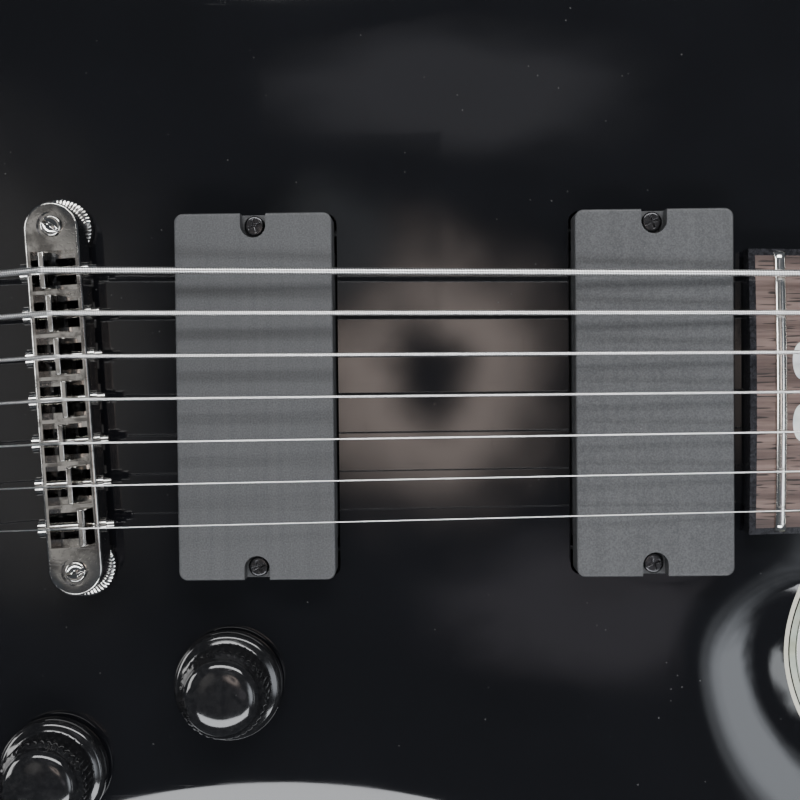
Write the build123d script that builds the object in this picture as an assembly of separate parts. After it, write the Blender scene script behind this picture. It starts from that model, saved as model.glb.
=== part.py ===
"""Seven-string electric guitar with an arched top, a set neck and a string-through bridge.

The guitar is drawn lying on its back: x towards the treble side, y along the neck
towards the headstock, z out of the face. The origin is on the centre line at the nut,
on the glue plane between neck and fretboard. PLACE then stands it up for the finished
part: +Z along the neck, -Y out of the face, +X towards the treble side.
Sizes are in millimetres.
"""
from build123d import *
import os
from math import cos, radians, tan

os.makedirs("parts", exist_ok=True)

# --- scale and strings, from the bass side to the treble side ---
SCALE = 673.1
STRING_COUNT = 7
NUT_SPREAD = 43.4
BRIDGE_SPREAD = 62.0
STRING_DIA = [1.60, 1.22, 0.92, 0.70, 0.50, 0.40, 0.32]
WOUND_COUNT = 4
ACTION_NUT = 0.6
ACTION_BRIDGE = 2.7
TAIL_DISTANCE = 55.0
BREAK_RADIUS = 3.0

# --- neck, fretboard and headstock ---
NECK_ANGLE = 1.6
NUT_WIDTH = 49.5
BOARD_END_WIDTH = 69.5
BOARD_END_PAST_FRET = 7.5
BOARD_THICK = 6.0
BOARD_RADIUS = 406.0
BINDING_WIDTH = 1.6
FRET_COUNT = 24
FRET_WIDTH = 2.9
FRET_HEIGHT = 1.2
NECK_DEPTH_NUT = 14.0
NECK_DEPTH_HEEL = 17.5
NUT_LENGTH = 5.0
NUT_PROUD = 1.6
HEAD_ANGLE = 11.0
HEAD_THICK = 14.5
TENON_WIDTH = 56.0
TENON_DEPTH = 31.0
HEEL_START = 398.0
HEEL_FULL = 436.0
ROD_RADIUS = 3.0
ROD_DEPTH = 6.0
ROD_REACH = 13.0
INLAY_THICK = 1.2

# --- body ---
BODY_THICK = 45.0
NECK_RISE = 2.0
CARVE_DEPTH = 7.0
CARVE_WIDTH = 6.0
BACK_EASE = 3.0
EDGE_BINDING_WIDTH = 4.0
EDGE_BINDING_DEPTH = 6.0
TOP_OVER_CAVITY = 7.0
COVER_THICK = 2.5
COVER_LIP = 5.0
COVER_HEAD_RADIUS = 2.8
COVER_HEAD_SINK = 1.5
WIRE_DUCT_RADIUS = 3.5

# --- pickups ---
PICKUP_LENGTH = 88.9
PICKUP_WIDTH = 38.1
PICKUP_HEIGHT = 21.0
PICKUP_CORNER = 2.1
PICKUP_WALL = 2.0
PICKUP_BASE = 1.2
EAR_LENGTH = 9.0
EAR_THICK = 4.0
NOTCH_WIDTH = 6.2
NOTCH_REACH = 5.9
NOTCH_DEPTH = 5.0
NECK_PICKUP_TO_FRET = 30.2
PICKUP_SPACING = 96.7
BRIDGE_PICKUP_PROUD = 9.6
NECK_PICKUP_PROUD = 8.6
ROUTE_GAP = 0.6
ROUTE_DEPTH = 24.0

# --- bridge ---
BRIDGE_SLANT = 3.15
BRIDGE_SETBACK = 4.5
BRIDGE_LENGTH = 95.0
BRIDGE_WIDTH = 13.2
BRIDGE_HEIGHT = 9.0
CREST_OVER_FRAME = 3.9
POST_SPACING = 83.5
POST_RADIUS = 2.45
POST_RING_RADIUS = 3.45
POST_RING_DEPTH = 1.0
WHEEL_RADIUS = 7.2
WHEEL_THICK = 3.0
STUD_RADIUS = 3.9
BUSHING_RADIUS = 5.5
BUSHING_DEPTH = 18.0
POCKET_LENGTH = 9.5
POCKET_WIDTH = 10.8
POCKET_DEPTH = 5.2
POCKET_THROAT = 6.5
SADDLE_LENGTH = 8.7
SADDLE_BASE = 4.0
SADDLE_CREST = 1.2
SADDLE_SHOULDER = 2.6
SADDLE_OFFSETS = [-2.1, -0.8, 0.4, 1.35, -0.2, 1.0, 2.8]
SADDLE_GAP = 0.05
CREST_GAP = 0.12
SCREW_RADIUS = 1.1
SCREW_DROP = 2.9
SCREW_HEAD_RADIUS = 2.25
SCREW_HEAD_LENGTH = 1.9
SCREW_COLLAR_RADIUS = 1.75
SCREW_COLLAR_LENGTH = 1.3
SCREW_TIP_LENGTH = 3.1
RUNNING_GAP = 0.05

# --- string ferrules in the body ---
FERRULE_RADIUS = 3.6
FERRULE_HOLE_RADIUS = 1.75
FERRULE_DEPTH = 9.0
FERRULE_PROUD = 0.7
STRING_HOLE_RADIUS = 1.9
BALL_RADIUS = 1.9
BALL_LENGTH = 3.2

# --- tuners: (x, y) of each post on the headstock, bass string first ---
POSTS = [(-24, 42), (-22.5, 71), (-20.5, 100), (-18, 129), (20.5, 100), (22.5, 71), (24, 42)]
TUNER_POST_RADIUS = 3.0
TUNER_POST_HEIGHT = 13.0
TUNER_SLEEVE_RADIUS = 4.9
TUNER_NUT_RADIUS = 7.2
TUNER_NUT_HEIGHT = 3.2
GEAR_RADIUS = 5.6
GEAR_THICK = 3.0
WORM_RADIUS = 2.3
WORM_LENGTH = 9.0
MESH_GAP = 0.15
HOUSING_LENGTH = 19.0
HOUSING_HEIGHT = 10.0
HOUSING_WALL = 1.6
LUG_RADIUS = 2.6
LUG_THICK = 1.4
BUTTON_SHAFT_RADIUS = 1.6
BUTTON_REACH = 27.0
BUTTON_LENGTH = 15.0
BUTTON_SPAN = 19.0
BUTTON_THICK = 7.0

# --- controls: (x, y) on the body ---
KNOB_SPOTS = [(71.5, -640), (93, -684), (104, -732)]
KNOB_RADIUS = 13.5
KNOB_UPPER_RADIUS = 11.0
KNOB_SKIRT = 5.5
KNOB_HEIGHT = 17.5
KNOB_LIFT = 0.8
POT_RADIUS = 12.0
POT_HEIGHT = 12.0
POT_BUSHING_RADIUS = 3.9
POT_SHAFT_RADIUS = 3.0
POT_BUSHING_HEIGHT = 5.0
TOGGLE_SPOT = (70, -716)
TOGGLE_NUT_RADIUS = 7.0
LEVER_RADIUS = 1.5
LEVER_HEIGHT = 15.0

# --- output jack, on the treble side of the lower bout ---
JACK_X = 153.0
JACK_Y = -748.0
JACK_BORE_RADIUS = 3.25
JACK_BARREL_RADIUS = 4.7
JACK_HOLE_RADIUS = 9.5
JACK_PLATE = (26.0, 20.0, 2.0)
JACK_LENGTH = 22.0

# --- battery and strap buttons ---
BATTERY = (26.2, 48.5, 17.2)
BATTERY_SPOT = (92, -779)
STRAP_RADIUS = 7.5
STRAP_WAIST = 4.0
STRAP_LENGTH = 11.0

BODY_OUTLINE = [
    (0, -441), (25, -461), (36, -484), (62, -496.5), (88, -488), (101, -463), (107, -440),
    (118, -428), (132, -436), (147, -466), (150, -510), (138, -560), (124, -612), (127, -662),
    (147, -718), (163, -775), (154, -826), (112, -857), (50, -869), (0, -871), (-50, -869),
    (-112, -857), (-154, -826), (-164, -775), (-147, -718), (-127, -662), (-124, -612),
    (-138, -558), (-152, -505), (-154, -455), (-143, -412), (-127, -396), (-111, -402),
    (-101, -425), (-88, -455), (-66, -472), (-42, -466), (-28, -446),
]
COVER_HOLES = [(64, -622), (84, -619), (128, -712), (131, -784), (57, -811), (51, -700)]
COVER_SCREWS = [(-5, 17), (5, 17), (0, 42)]
OUTLINE_SPANS = 14
SPAN_STEPS = 7
HEAD_OUTLINE = [
    (24.5, 0), (27, 10), (36, 24), (39, 42), (37, 72), (34, 102), (27, 132), (16, 154),
    (0, 163), (-18, 164), (-29, 153), (-32, 132), (-34, 102), (-37, 72), (-39, 42),
    (-36, 24), (-27, 10), (-24.5, 0),
]
CAVITY_OUTLINE = [
    (54, -622), (88, -622), (112, -668), (124, -712), (128, -760), (122, -806), (60, -806),
    (54, -760),
]

# --- what follows from the sizes above ---
BOARD_LENGTH = SCALE * (1 - 2 ** (-FRET_COUNT / 12)) + BOARD_END_PAST_FRET
BODY_TOP = BOARD_LENGTH * tan(radians(NECK_ANGLE)) - NECK_RISE
BODY_BACK = BODY_TOP - BODY_THICK
CAVITY_TOP = BODY_TOP - TOP_OVER_CAVITY
FRET_TOP = BOARD_THICK + FRET_HEIGHT
NECK_PICKUP_Y = -(SCALE * (1 - 2 ** (-FRET_COUNT / 12)) + NECK_PICKUP_TO_FRET)
BRIDGE_PICKUP_Y = NECK_PICKUP_Y - PICKUP_SPACING
BRIDGE_Y = -SCALE - BRIDGE_SETBACK
CAVITY_CLEAR = BODY_BACK + COVER_THICK
DUCT_X = 24.0
DUCT_Y = BRIDGE_PICKUP_Y + 8.0
DUCT_Z = BODY_TOP - 19.0
JACK_Z = BODY_BACK + 20.0
JACK_SCREWS = [(JACK_Y - 9.5, JACK_Z + 6.5), (JACK_Y + 9.5, JACK_Z - 6.5)]
TOGGLE_PIVOT = CAVITY_TOP + 1.0
HEAD_BACK = -HEAD_THICK
GEAR_TOP = HEAD_BACK - HOUSING_WALL - 1.2
WORM_OFFSET = GEAR_RADIUS + WORM_RADIUS + MESH_GAP
WORM_Z = GEAR_TOP - GEAR_THICK / 2
HOUSING_SCREWS = [
    (x - (HOUSING_LENGTH / 2 - 3.0) * (-1 if x < 0 else 1), y - GEAR_RADIUS - HOUSING_WALL - 3.4)
    for x, y in POSTS
]

PLACE = Rot(90, 0, 0)
NECK = Rot(-NECK_ANGLE, 0, 0)
HEAD = NECK * Pos(0, NUT_LENGTH, 0) * Rot(-HEAD_ANGLE, 0, 0)
BRIDGE = Pos(0, BRIDGE_Y, 0) * Rot(0, 0, BRIDGE_SLANT)


def save(node, shapes):
    """Write one node, stood up in the finished part's frame."""
    solids = []
    for shape in shapes:
        solids.extend((PLACE * shape).solids())
    export_step(Compound(children=solids) if len(solids) > 1 else solids[0], f"parts/{node}.step")


def rod(radius, low, high, x=0.0, y=0.0):
    """An upright cylinder between two heights."""
    return Pos(x, y, (low + high) / 2) * Cylinder(radius, high - low)


def tube(radius, bore, low, high, x=0.0, y=0.0):
    """An upright ring between two heights."""
    return rod(radius, low, high, x, y) - rod(bore, low - 1, high + 1, x, y)


def rod_along(radius, start, end):
    """A cylinder between two points."""
    line = Line(start, end)
    return extrude(Plane(start, z_dir=line % 0) * Circle(radius), amount=line.length)


def block(width, length, low, high, x=0.0, y=0.0):
    """An upright box between two heights."""
    return Pos(x, y, (low + high) / 2) * Box(width, length, high - low)


def fret_distance(number):
    """Distance from the nut to a fret."""
    return SCALE * (1 - 2 ** (-number / 12))


def board_width(distance):
    """Fretboard width at a distance from the nut."""
    return NUT_WIDTH + (BOARD_END_WIDTH - NUT_WIDTH) * distance / BOARD_LENGTH


def crown_drop(x):
    """How far the fretboard's curved top has fallen at x."""
    return x * x / (2 * BOARD_RADIUS)


def string_x(number, spread):
    """Where a string lies across the neck, for a given spread of the outer strings."""
    return spread * (number / (STRING_COUNT - 1) - 0.5)


# ------------------------------------------------------------------ strings


def nut_point(number):
    """Centre of a string on the front edge of the nut."""
    x = string_x(number, NUT_SPREAD)
    height = FRET_TOP + ACTION_NUT + STRING_DIA[number] / 2 - crown_drop(x)
    return (NECK * Pos(x, 0, height)).position


def saddle_point(number):
    """Centre of a string over its saddle's crest."""
    across = string_x(number, BRIDGE_SPREAD)
    flat = (BRIDGE * Pos(across, SADDLE_OFFSETS[number], 0)).position
    height = FRET_TOP + ACTION_BRIDGE + STRING_DIA[number] / 2 - crown_drop(across)
    rise = -flat.Y * tan(radians(NECK_ANGLE)) + height / cos(radians(NECK_ANGLE))
    return Vector(flat.X, flat.Y, rise)


def crest_height(number):
    """Height of a saddle's crest."""
    return saddle_point(number).Z - STRING_DIA[number] / 2 - CREST_GAP


FRAME_TOP = crest_height(3) - CREST_OVER_FRAME
FRAME_LOW = FRAME_TOP - BRIDGE_HEIGHT
SCREW_Z = FRAME_TOP - SCREW_DROP
LEDGE_Z = FRAME_TOP - POCKET_DEPTH


def ferrule_spot(number):
    """Where a string enters the body."""
    across = string_x(number, BRIDGE_SPREAD)
    return (BRIDGE * Pos(across, -TAIL_DISTANCE, 0)).position


def post_point(number):
    """Where a string leaves its tuner post, beside the post on the inner side."""
    x, y = POSTS[number]
    side = 1 if x < 0 else -1
    reach = TUNER_POST_RADIUS + STRING_DIA[number] / 2 + RUNNING_GAP
    return (HEAD * Pos(x + side * reach, y, TUNER_NUT_HEIGHT + 2.4)).position


def string_route(number):
    """Corner points of a string, from its post to its ball end."""
    spot = ferrule_spot(number)
    mouth = Vector(spot.X, spot.Y, BODY_TOP + FERRULE_PROUD + STRING_DIA[number] / 2 + 0.6)
    ball = Vector(spot.X, spot.Y, BODY_BACK + BALL_LENGTH + 1.5)
    return [post_point(number), nut_point(number), saddle_point(number), mouth, ball]


def string_solid(number):
    """One string as a round wire with its ball end."""
    route = string_route(number)
    radius = STRING_DIA[number] / 2
    path = FilletPolyline(*route, radius=[BREAK_RADIUS, BREAK_RADIUS, 1.5 + radius])
    wire = sweep(Plane(path @ 0, z_dir=path % 0) * Circle(radius), path=path)
    end = route[-1]
    ball = rod(BALL_RADIUS, end.Z - BALL_LENGTH, end.Z + 0.1, end.X, end.Y)
    return wire + ball


def make_strings():
    """The wound and the plain strings."""
    strings = [string_solid(number) for number in range(STRING_COUNT)]
    save("wound_strings", strings[:WOUND_COUNT])
    save("plain_strings", strings[WOUND_COUNT:])


# ------------------------------------------------------------------ neck


def board_prism(inset, low, high, end_inset=0.0):
    """The fretboard's tapered outline as a prism, pulled in at its sides and body end."""
    nut_half = NUT_WIDTH / 2 - inset
    end_half = BOARD_END_WIDTH / 2 - inset
    length = BOARD_LENGTH - end_inset
    outline = Polyline((-nut_half, 0), (nut_half, 0), (end_half, -length), (-end_half, -length), close=True)
    return Pos(0, 0, low) * extrude(make_face(outline), amount=high - low)


def crown(height):
    """A long cylinder whose upper side is the curved playing surface at a height."""
    cylinder = Rot(90, 0, 0) * Cylinder(BOARD_RADIUS, 3 * SCALE)
    return Pos(0, 0, height - BOARD_RADIUS) * cylinder


def inlay_faces():
    """Outlines of the position marks, as (x, distance, length, width)."""
    marks = []
    for fret in (3, 5, 7, 9, 15, 17, 19, 21):
        middle = (fret_distance(fret) + fret_distance(fret - 1)) / 2
        marks.append((0.0, middle, 9.0, 5.0))
    for fret in (12, 24):
        middle = (fret_distance(fret) + fret_distance(fret - 1)) / 2
        marks.append((-7.5, middle, 9.0, 4.4))
        marks.append((7.5, middle, 9.0, 4.4))
    return marks


def inlay(mark, height):
    """One oval mark, reaching up to a height."""
    x, distance, width, length = mark
    oval = extrude(Ellipse(width / 2, length / 2), amount=INLAY_THICK + 2)
    return Pos(x, -distance, height - INLAY_THICK) * oval


def make_fretboard():
    """Fretboard, its black edge binding, the frets and the position marks."""
    marks = [inlay(mark, BOARD_THICK - 0.1) & crown(BOARD_THICK) for mark in inlay_faces()]
    board = board_prism(BINDING_WIDTH, 0, BOARD_THICK + 1, BINDING_WIDTH) & crown(BOARD_THICK)
    rim = board_prism(0, 0, BOARD_THICK + 1) & crown(BOARD_THICK)
    rim -= board_prism(BINDING_WIDTH, -1, BOARD_THICK + 2, BINDING_WIDTH)
    for mark in inlay_faces():
        board -= inlay(mark, BOARD_THICK - 0.1)
    save("fretboard", [NECK * board])
    save("fretboard_binding", [NECK * rim])
    save("inlays", [NECK * mark for mark in marks])
    layer = crown(FRET_TOP) - crown(BOARD_THICK)
    frets = []
    for number in range(1, FRET_COUNT + 1):
        distance = fret_distance(number)
        slab = block(board_width(distance) - 1.0, FRET_WIDTH, BOARD_THICK - 4, BOARD_THICK + 4, 0, -distance)
        frets.append(NECK * (slab & layer))
    save("frets", frets)


def neck_section(width, depth, distance):
    """A D-shaped neck section, flat side up."""
    arc = EllipticalCenterArc((0, 0), width / 2, depth, start_angle=180, arc_size=180)
    return Plane.XZ.offset(distance) * make_face(arc + Line(arc @ 0, arc @ 1))


def neck_blank():
    """The neck's shaft, heel and tenon in one piece of wood."""
    shaft = loft([
        neck_section(NUT_WIDTH, NECK_DEPTH_NUT, -NUT_LENGTH),
        neck_section(board_width(HEEL_START), NECK_DEPTH_HEEL, HEEL_START),
    ], ruled=True)
    heel_width = board_width(HEEL_FULL)
    heel = loft([
        neck_section(board_width(HEEL_START), NECK_DEPTH_HEEL, HEEL_START),
        neck_section(heel_width, TENON_DEPTH, HEEL_FULL),
    ], ruled=True)
    length = BOARD_LENGTH - HEEL_FULL
    tenon = block(TENON_WIDTH, length, -TENON_DEPTH, 0, 0, -HEEL_FULL - length / 2)
    return shaft + heel + tenon


def head_blank():
    """The headstock plate, in its own tilted frame."""
    outline = Spline(*HEAD_OUTLINE) + Line(HEAD_OUTLINE[-1], HEAD_OUTLINE[0])
    return Pos(0, 0, -HEAD_THICK) * extrude(make_face(outline), amount=HEAD_THICK)


def rod_run(radius, reach):
    """A bar along the neck, under the fretboard, reaching past the nut."""
    return rod_along(radius, (0, reach, -ROD_DEPTH), (0, -HEEL_START, -ROD_DEPTH))


def make_neck():
    """Neck with headstock, truss rod, its cover and the nut."""
    wood = NECK * neck_blank() + HEAD * head_blank()
    wood -= NECK * rod_run(ROD_RADIUS, ROD_REACH)
    wood -= HEAD * block(2 * ROD_RADIUS + 3, 20, -9, 1, 0, 15)
    for x, y in POSTS:
        wood -= HEAD * rod(TUNER_SLEEVE_RADIUS, -HEAD_THICK - 1, 5, x, y)
    for x, y in COVER_SCREWS:
        wood -= HEAD * rod(1.0, -8, 1, x, y)
    for x, y in HOUSING_SCREWS:
        wood -= HEAD * rod(1.0, -HEAD_THICK - 1, -HEAD_THICK + 7, x, y)
    wood -= NECK * block(NUT_WIDTH + 20, NUT_LENGTH, 0, 40, 0, NUT_LENGTH / 2)
    save("neck", [wood])
    save("truss_rod", [NECK * rod_run(ROD_RADIUS - RUNNING_GAP, ROD_REACH)])
    cover = Pos(0, 26, 1) * extrude(Ellipse(10, 18), amount=2.0) + block(16, 24, 1, 3, 0, 21)
    cover = Pos(0, 2, -1) * cover
    for x, y in COVER_SCREWS:
        cover -= rod(1.1, -1, 5, x, y)
    save("truss_rod_cover", [HEAD * cover])
    save("nut", [nut_solid()])


def nut_solid():
    """The nut, with a slot along each string."""
    height = FRET_TOP + NUT_PROUD + STRING_DIA[0] / 2
    blank = block(NUT_WIDTH, NUT_LENGTH, 0, height, 0, NUT_LENGTH / 2) & crown(height)
    blank = NECK * blank
    for number in range(STRING_COUNT):
        start = nut_point(number)
        toward = post_point(number) - start
        width = STRING_DIA[number] + 0.1
        slot = Plane(start, x_dir=toward.cross(Vector(0, 0, 1)), z_dir=toward)
        cut = extrude(slot * Circle(width / 2), amount=4 * NUT_LENGTH, both=True)
        upper = slot.z_dir.cross(slot.x_dir)
        box = Box(width, 8.0, 8 * NUT_LENGTH)
        lift = 4.0 if upper.Z > 0 else -4.0
        cut += slot.location * Pos(0, lift, 0) * box
        blank -= cut
    return blank


# ------------------------------------------------------------------ body


def outline_wire(inset, height):
    """The body's outline at a height, pulled in by an inset, as a loop of smooth spans."""
    whole = Spline(*BODY_OUTLINE, periodic=True)
    spans = []
    for span in range(OUTLINE_SPANS):
        points = []
        for step in range(SPAN_STEPS + 1):
            share = ((span + step / SPAN_STEPS) / OUTLINE_SPANS) % 1
            spot = whole @ share
            along = whole % share
            points.append((spot.X + along.Y * inset, spot.Y - along.X * inset, height))
        ends = [whole % (span / OUTLINE_SPANS), whole % ((span + 1) / OUTLINE_SPANS % 1)]
        spans.append(Spline(*points, tangents=[(end.X, end.Y, 0) for end in ends]))
    return Wire(spans)


def cavity_face(grow):
    """The control cavity's outline, grown by an amount."""
    return offset(make_face(Polyline(*CAVITY_OUTLINE, close=True)), amount=6.0 + grow)


def body_blank():
    """The body's full shape, with its top edge carved away and its back edge eased."""
    levels = [
        outline_wire(BACK_EASE, BODY_BACK), outline_wire(0, BODY_BACK + BACK_EASE),
        outline_wire(0, BODY_TOP - CARVE_DEPTH), outline_wire(CARVE_WIDTH, BODY_TOP),
    ]
    blank = Solid.make_loft(levels[:2], ruled=True) + Solid.make_loft(levels[2:], ruled=True)
    wall = BODY_THICK - CARVE_DEPTH - BACK_EASE
    return blank + extrude(make_face(levels[1]), amount=wall)


def edge_binding(blank):
    """The strip let into the carved top's outer edge."""
    low = BODY_TOP - CARVE_DEPTH - EDGE_BINDING_DEPTH
    core = extrude(make_face(outline_wire(EDGE_BINDING_WIDTH, low)), amount=BODY_THICK)
    slab = Pos(0, -SCALE, low + BODY_THICK / 2) * Box(SCALE, SCALE, BODY_THICK)
    return (blank & slab) - core


def pickup_route(y):
    """The hole in the top that a pickup drops into."""
    width = PICKUP_WIDTH + 2 * ROUTE_GAP
    length = PICKUP_LENGTH + 2 * ROUTE_GAP
    return block(length, width, BODY_TOP - ROUTE_DEPTH, BODY_TOP + 5, 0, y)


def make_body():
    """The body with all its routes, and its edge binding."""
    blank = body_blank()
    neck = NECK * neck_blank()
    binding = edge_binding(blank)
    body = blank - binding - neck
    binding -= neck
    for y in (BRIDGE_PICKUP_Y, NECK_PICKUP_Y):
        body -= pickup_route(y)
    body -= Pos(0, 0, BODY_BACK - 1) * extrude(cavity_face(0), amount=CAVITY_TOP - BODY_BACK + 1)
    body -= Pos(0, 0, BODY_BACK - 1) * extrude(cavity_face(COVER_LIP), amount=COVER_THICK + 1)
    body -= rod_along(WIRE_DUCT_RADIUS, (DUCT_X, NECK_PICKUP_Y, DUCT_Z), (DUCT_X, BRIDGE_PICKUP_Y, DUCT_Z))
    body -= rod_along(WIRE_DUCT_RADIUS, (DUCT_X, DUCT_Y, DUCT_Z), (70, DUCT_Y, DUCT_Z))
    for side in (-1, 1):
        spot = (BRIDGE * Pos(side * POST_SPACING / 2, 0, 0)).position
        body -= rod(BUSHING_RADIUS, BODY_TOP - BUSHING_DEPTH, BODY_TOP + 1, spot.X, spot.Y)
    for number in range(STRING_COUNT):
        spot = ferrule_spot(number)
        body -= rod(STRING_HOLE_RADIUS, BODY_BACK - 1, BODY_TOP + 1, spot.X, spot.Y)
        body -= rod(FERRULE_RADIUS, BODY_TOP - FERRULE_DEPTH, BODY_TOP + 1, spot.X, spot.Y)
        body -= rod(FERRULE_RADIUS, BODY_BACK - 1, BODY_BACK + FERRULE_DEPTH, spot.X, spot.Y)
    for x, y in KNOB_SPOTS:
        body -= rod(POT_BUSHING_RADIUS, CAVITY_TOP - 1, BODY_TOP + 1, x, y)
    body -= rod(TOGGLE_NUT_RADIUS - 1, CAVITY_TOP - 1, BODY_TOP + 1, *TOGGLE_SPOT)
    body -= jack_cuts()
    for hole in screw_holes():
        body -= hole
    save("body", [body])
    save("top_binding", [binding])


def jack_cuts():
    """The jack's side hole and the flat that its plate sits on."""
    thick, width, height = JACK_PLATE[2], JACK_PLATE[0], JACK_PLATE[1]
    hole = rod_along(JACK_HOLE_RADIUS - 1.5, (118, JACK_Y, JACK_Z), (175, JACK_Y, JACK_Z))
    seat = Pos(JACK_X - thick + 20, JACK_Y, JACK_Z) * Box(40, width + 0.4, height + 0.4)
    return hole + seat


def make_jack():
    """The output jack: barrel, nut and plate, with a bore for the plug."""
    thick, width, height = JACK_PLATE[2], JACK_PLATE[0], JACK_PLATE[1]
    bore_end = JACK_X - JACK_LENGTH + 2
    bore = rod_along(JACK_BORE_RADIUS, (bore_end, JACK_Y, JACK_Z), (JACK_X + 9, JACK_Y, JACK_Z))
    plate = Pos(JACK_X - thick / 2, JACK_Y, JACK_Z) * Box(thick, width, height)
    plate = fillet(plate.edges().filter_by(Axis.X), 3)
    barrel = rod_along(JACK_BARREL_RADIUS, (JACK_X - JACK_LENGTH, JACK_Y, JACK_Z), (JACK_X, JACK_Y, JACK_Z))
    plate -= barrel
    for y, z in JACK_SCREWS:
        plate -= rod_along(1.2, (JACK_X - 5, y, z), (JACK_X + 5, y, z))
    nut = extrude(Plane((JACK_X, JACK_Y, JACK_Z), z_dir=(1, 0, 0)) * RegularPolygon(7.0, 6), amount=2.2)
    save("output_jack", [plate, (barrel + nut) - bore])


def make_cover():
    """The plate that closes the control cavity from behind."""
    plate = Pos(0, 0, BODY_BACK) * extrude(cavity_face(COVER_LIP - 0.2), amount=COVER_THICK)
    for x, y in COVER_HOLES:
        plate -= rod(1.6, BODY_BACK - 1, BODY_BACK + 4, x, y)
        plate -= rod(COVER_HEAD_RADIUS + 0.1, BODY_BACK - 1, BODY_BACK + COVER_HEAD_SINK, x, y)
    save("control_cover", [plate])


# ------------------------------------------------------------------ pickups


def pickup_cover(y, top):
    """A pickup's moulded cover: closed top, hollow middle, a screw ear at each end."""
    outline = Pos(0, y, top - PICKUP_HEIGHT) * RectangleRounded(PICKUP_LENGTH, PICKUP_WIDTH, PICKUP_CORNER)
    cover = extrude(outline, amount=PICKUP_HEIGHT)
    cover = fillet(cover.faces().sort_by(Axis.Z)[-1].edges(), 0.5)
    hollow_length = PICKUP_LENGTH - 2 * EAR_LENGTH - 2 * PICKUP_WALL
    hollow_width = PICKUP_WIDTH - 2 * PICKUP_WALL
    cover -= block(hollow_length, hollow_width, top - PICKUP_HEIGHT - 1, top - PICKUP_WALL, 0, y)
    for side in (-1, 1):
        end = side * PICKUP_LENGTH / 2
        under = block(EAR_LENGTH, PICKUP_WIDTH + 1, top - PICKUP_HEIGHT - 1, top - NOTCH_DEPTH - EAR_THICK)
        cover -= Pos(end - side * EAR_LENGTH / 2, y, 0) * under
        centre = end - side * (NOTCH_REACH - NOTCH_WIDTH / 2)
        notch = rod(NOTCH_WIDTH / 2, top - NOTCH_DEPTH, top + 1, centre, y)
        notch += block(4.0, NOTCH_WIDTH, top - NOTCH_DEPTH, top + 1, centre + side * 2.0, y)
        cover -= notch
        cover -= rod(1.7, top - 20, top, centre, y)
    return cover


def pickup_screw_spots(y):
    """Centres of a pickup's two mounting screws."""
    reach = PICKUP_LENGTH / 2 - (NOTCH_REACH - NOTCH_WIDTH / 2)
    return [(-reach, y), (reach, y)]


def cross_head(radius, thick, low, x, y, arm):
    """A round screw head with a cross recess."""
    head = rod(radius, low, low + thick, x, y)
    head = fillet(head.faces().sort_by(Axis.Z)[-1].edges(), 0.35 * thick)
    for turn in (0, 90):
        head -= Pos(x, y, low + thick) * Rot(0, 0, turn + 20) * Box(arm, 0.55, 1.5)
    return head


def coil_spring(radius, wire, low, high, x, y):
    """A spring drawn as a thin sleeve of its outer size."""
    return tube(radius, radius - wire, low, high, x, y)


def make_pickups():
    """Covers, coils, magnets, base plates, mounting screws and springs."""
    coils = []
    mounting = []
    for node, y, proud in (
        ("bridge_pickup_cover", BRIDGE_PICKUP_Y, BRIDGE_PICKUP_PROUD),
        ("neck_pickup_cover", NECK_PICKUP_Y, NECK_PICKUP_PROUD),
    ):
        top = BODY_TOP + proud
        low = top - PICKUP_HEIGHT
        save(node, [pickup_cover(y, top)])
        length = PICKUP_LENGTH - 2 * EAR_LENGTH - 2 * PICKUP_WALL - 1.0
        width = PICKUP_WIDTH - 2 * PICKUP_WALL - 1.0
        base = block(length, width, low - PICKUP_BASE, low, 0, y)
        coils.append(base + block(length - 4, width - 4, low, low + 1.0, 0, y))
        for side in (-1, 1):
            spot_y = y + side * 8.0
            outer = Pos(0, spot_y, low + 1.0) * extrude(SlotOverall(length - 4, 14.0), amount=15.0)
            core = Pos(0, spot_y, low) * extrude(SlotOverall(length - 14, 4.0), amount=18.0)
            coils.append(outer - core)
            coils.append(Pos(0, spot_y, low + 1.0) * extrude(SlotOverall(length - 14.1, 3.9), amount=17.0))
        ear = top - NOTCH_DEPTH
        for x, spot_y in pickup_screw_spots(y):
            shank = rod(1.3, BODY_TOP - ROUTE_DEPTH - 4, ear + 0.2, x, spot_y)
            mounting.append(shank + cross_head(2.5, 1.9, ear, x, spot_y, 3.2))
            mounting.append(coil_spring(2.6, 0.7, BODY_TOP - ROUTE_DEPTH, ear - EAR_THICK, x, spot_y))
    save("pickup_coils", coils)
    save("pickup_mounting", mounting)


# ------------------------------------------------------------------ bridge


def pocket_x(number):
    """Centre of a saddle's pocket along the bridge."""
    return string_x(number, BRIDGE_SPREAD)


def screw_hole(x):
    """The hole for an intonation screw, across the bridge."""
    start = (x, -BRIDGE_WIDTH, SCREW_Z)
    return rod_along(SCREW_RADIUS + RUNNING_GAP, start, (x, BRIDGE_WIDTH, SCREW_Z))


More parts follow.
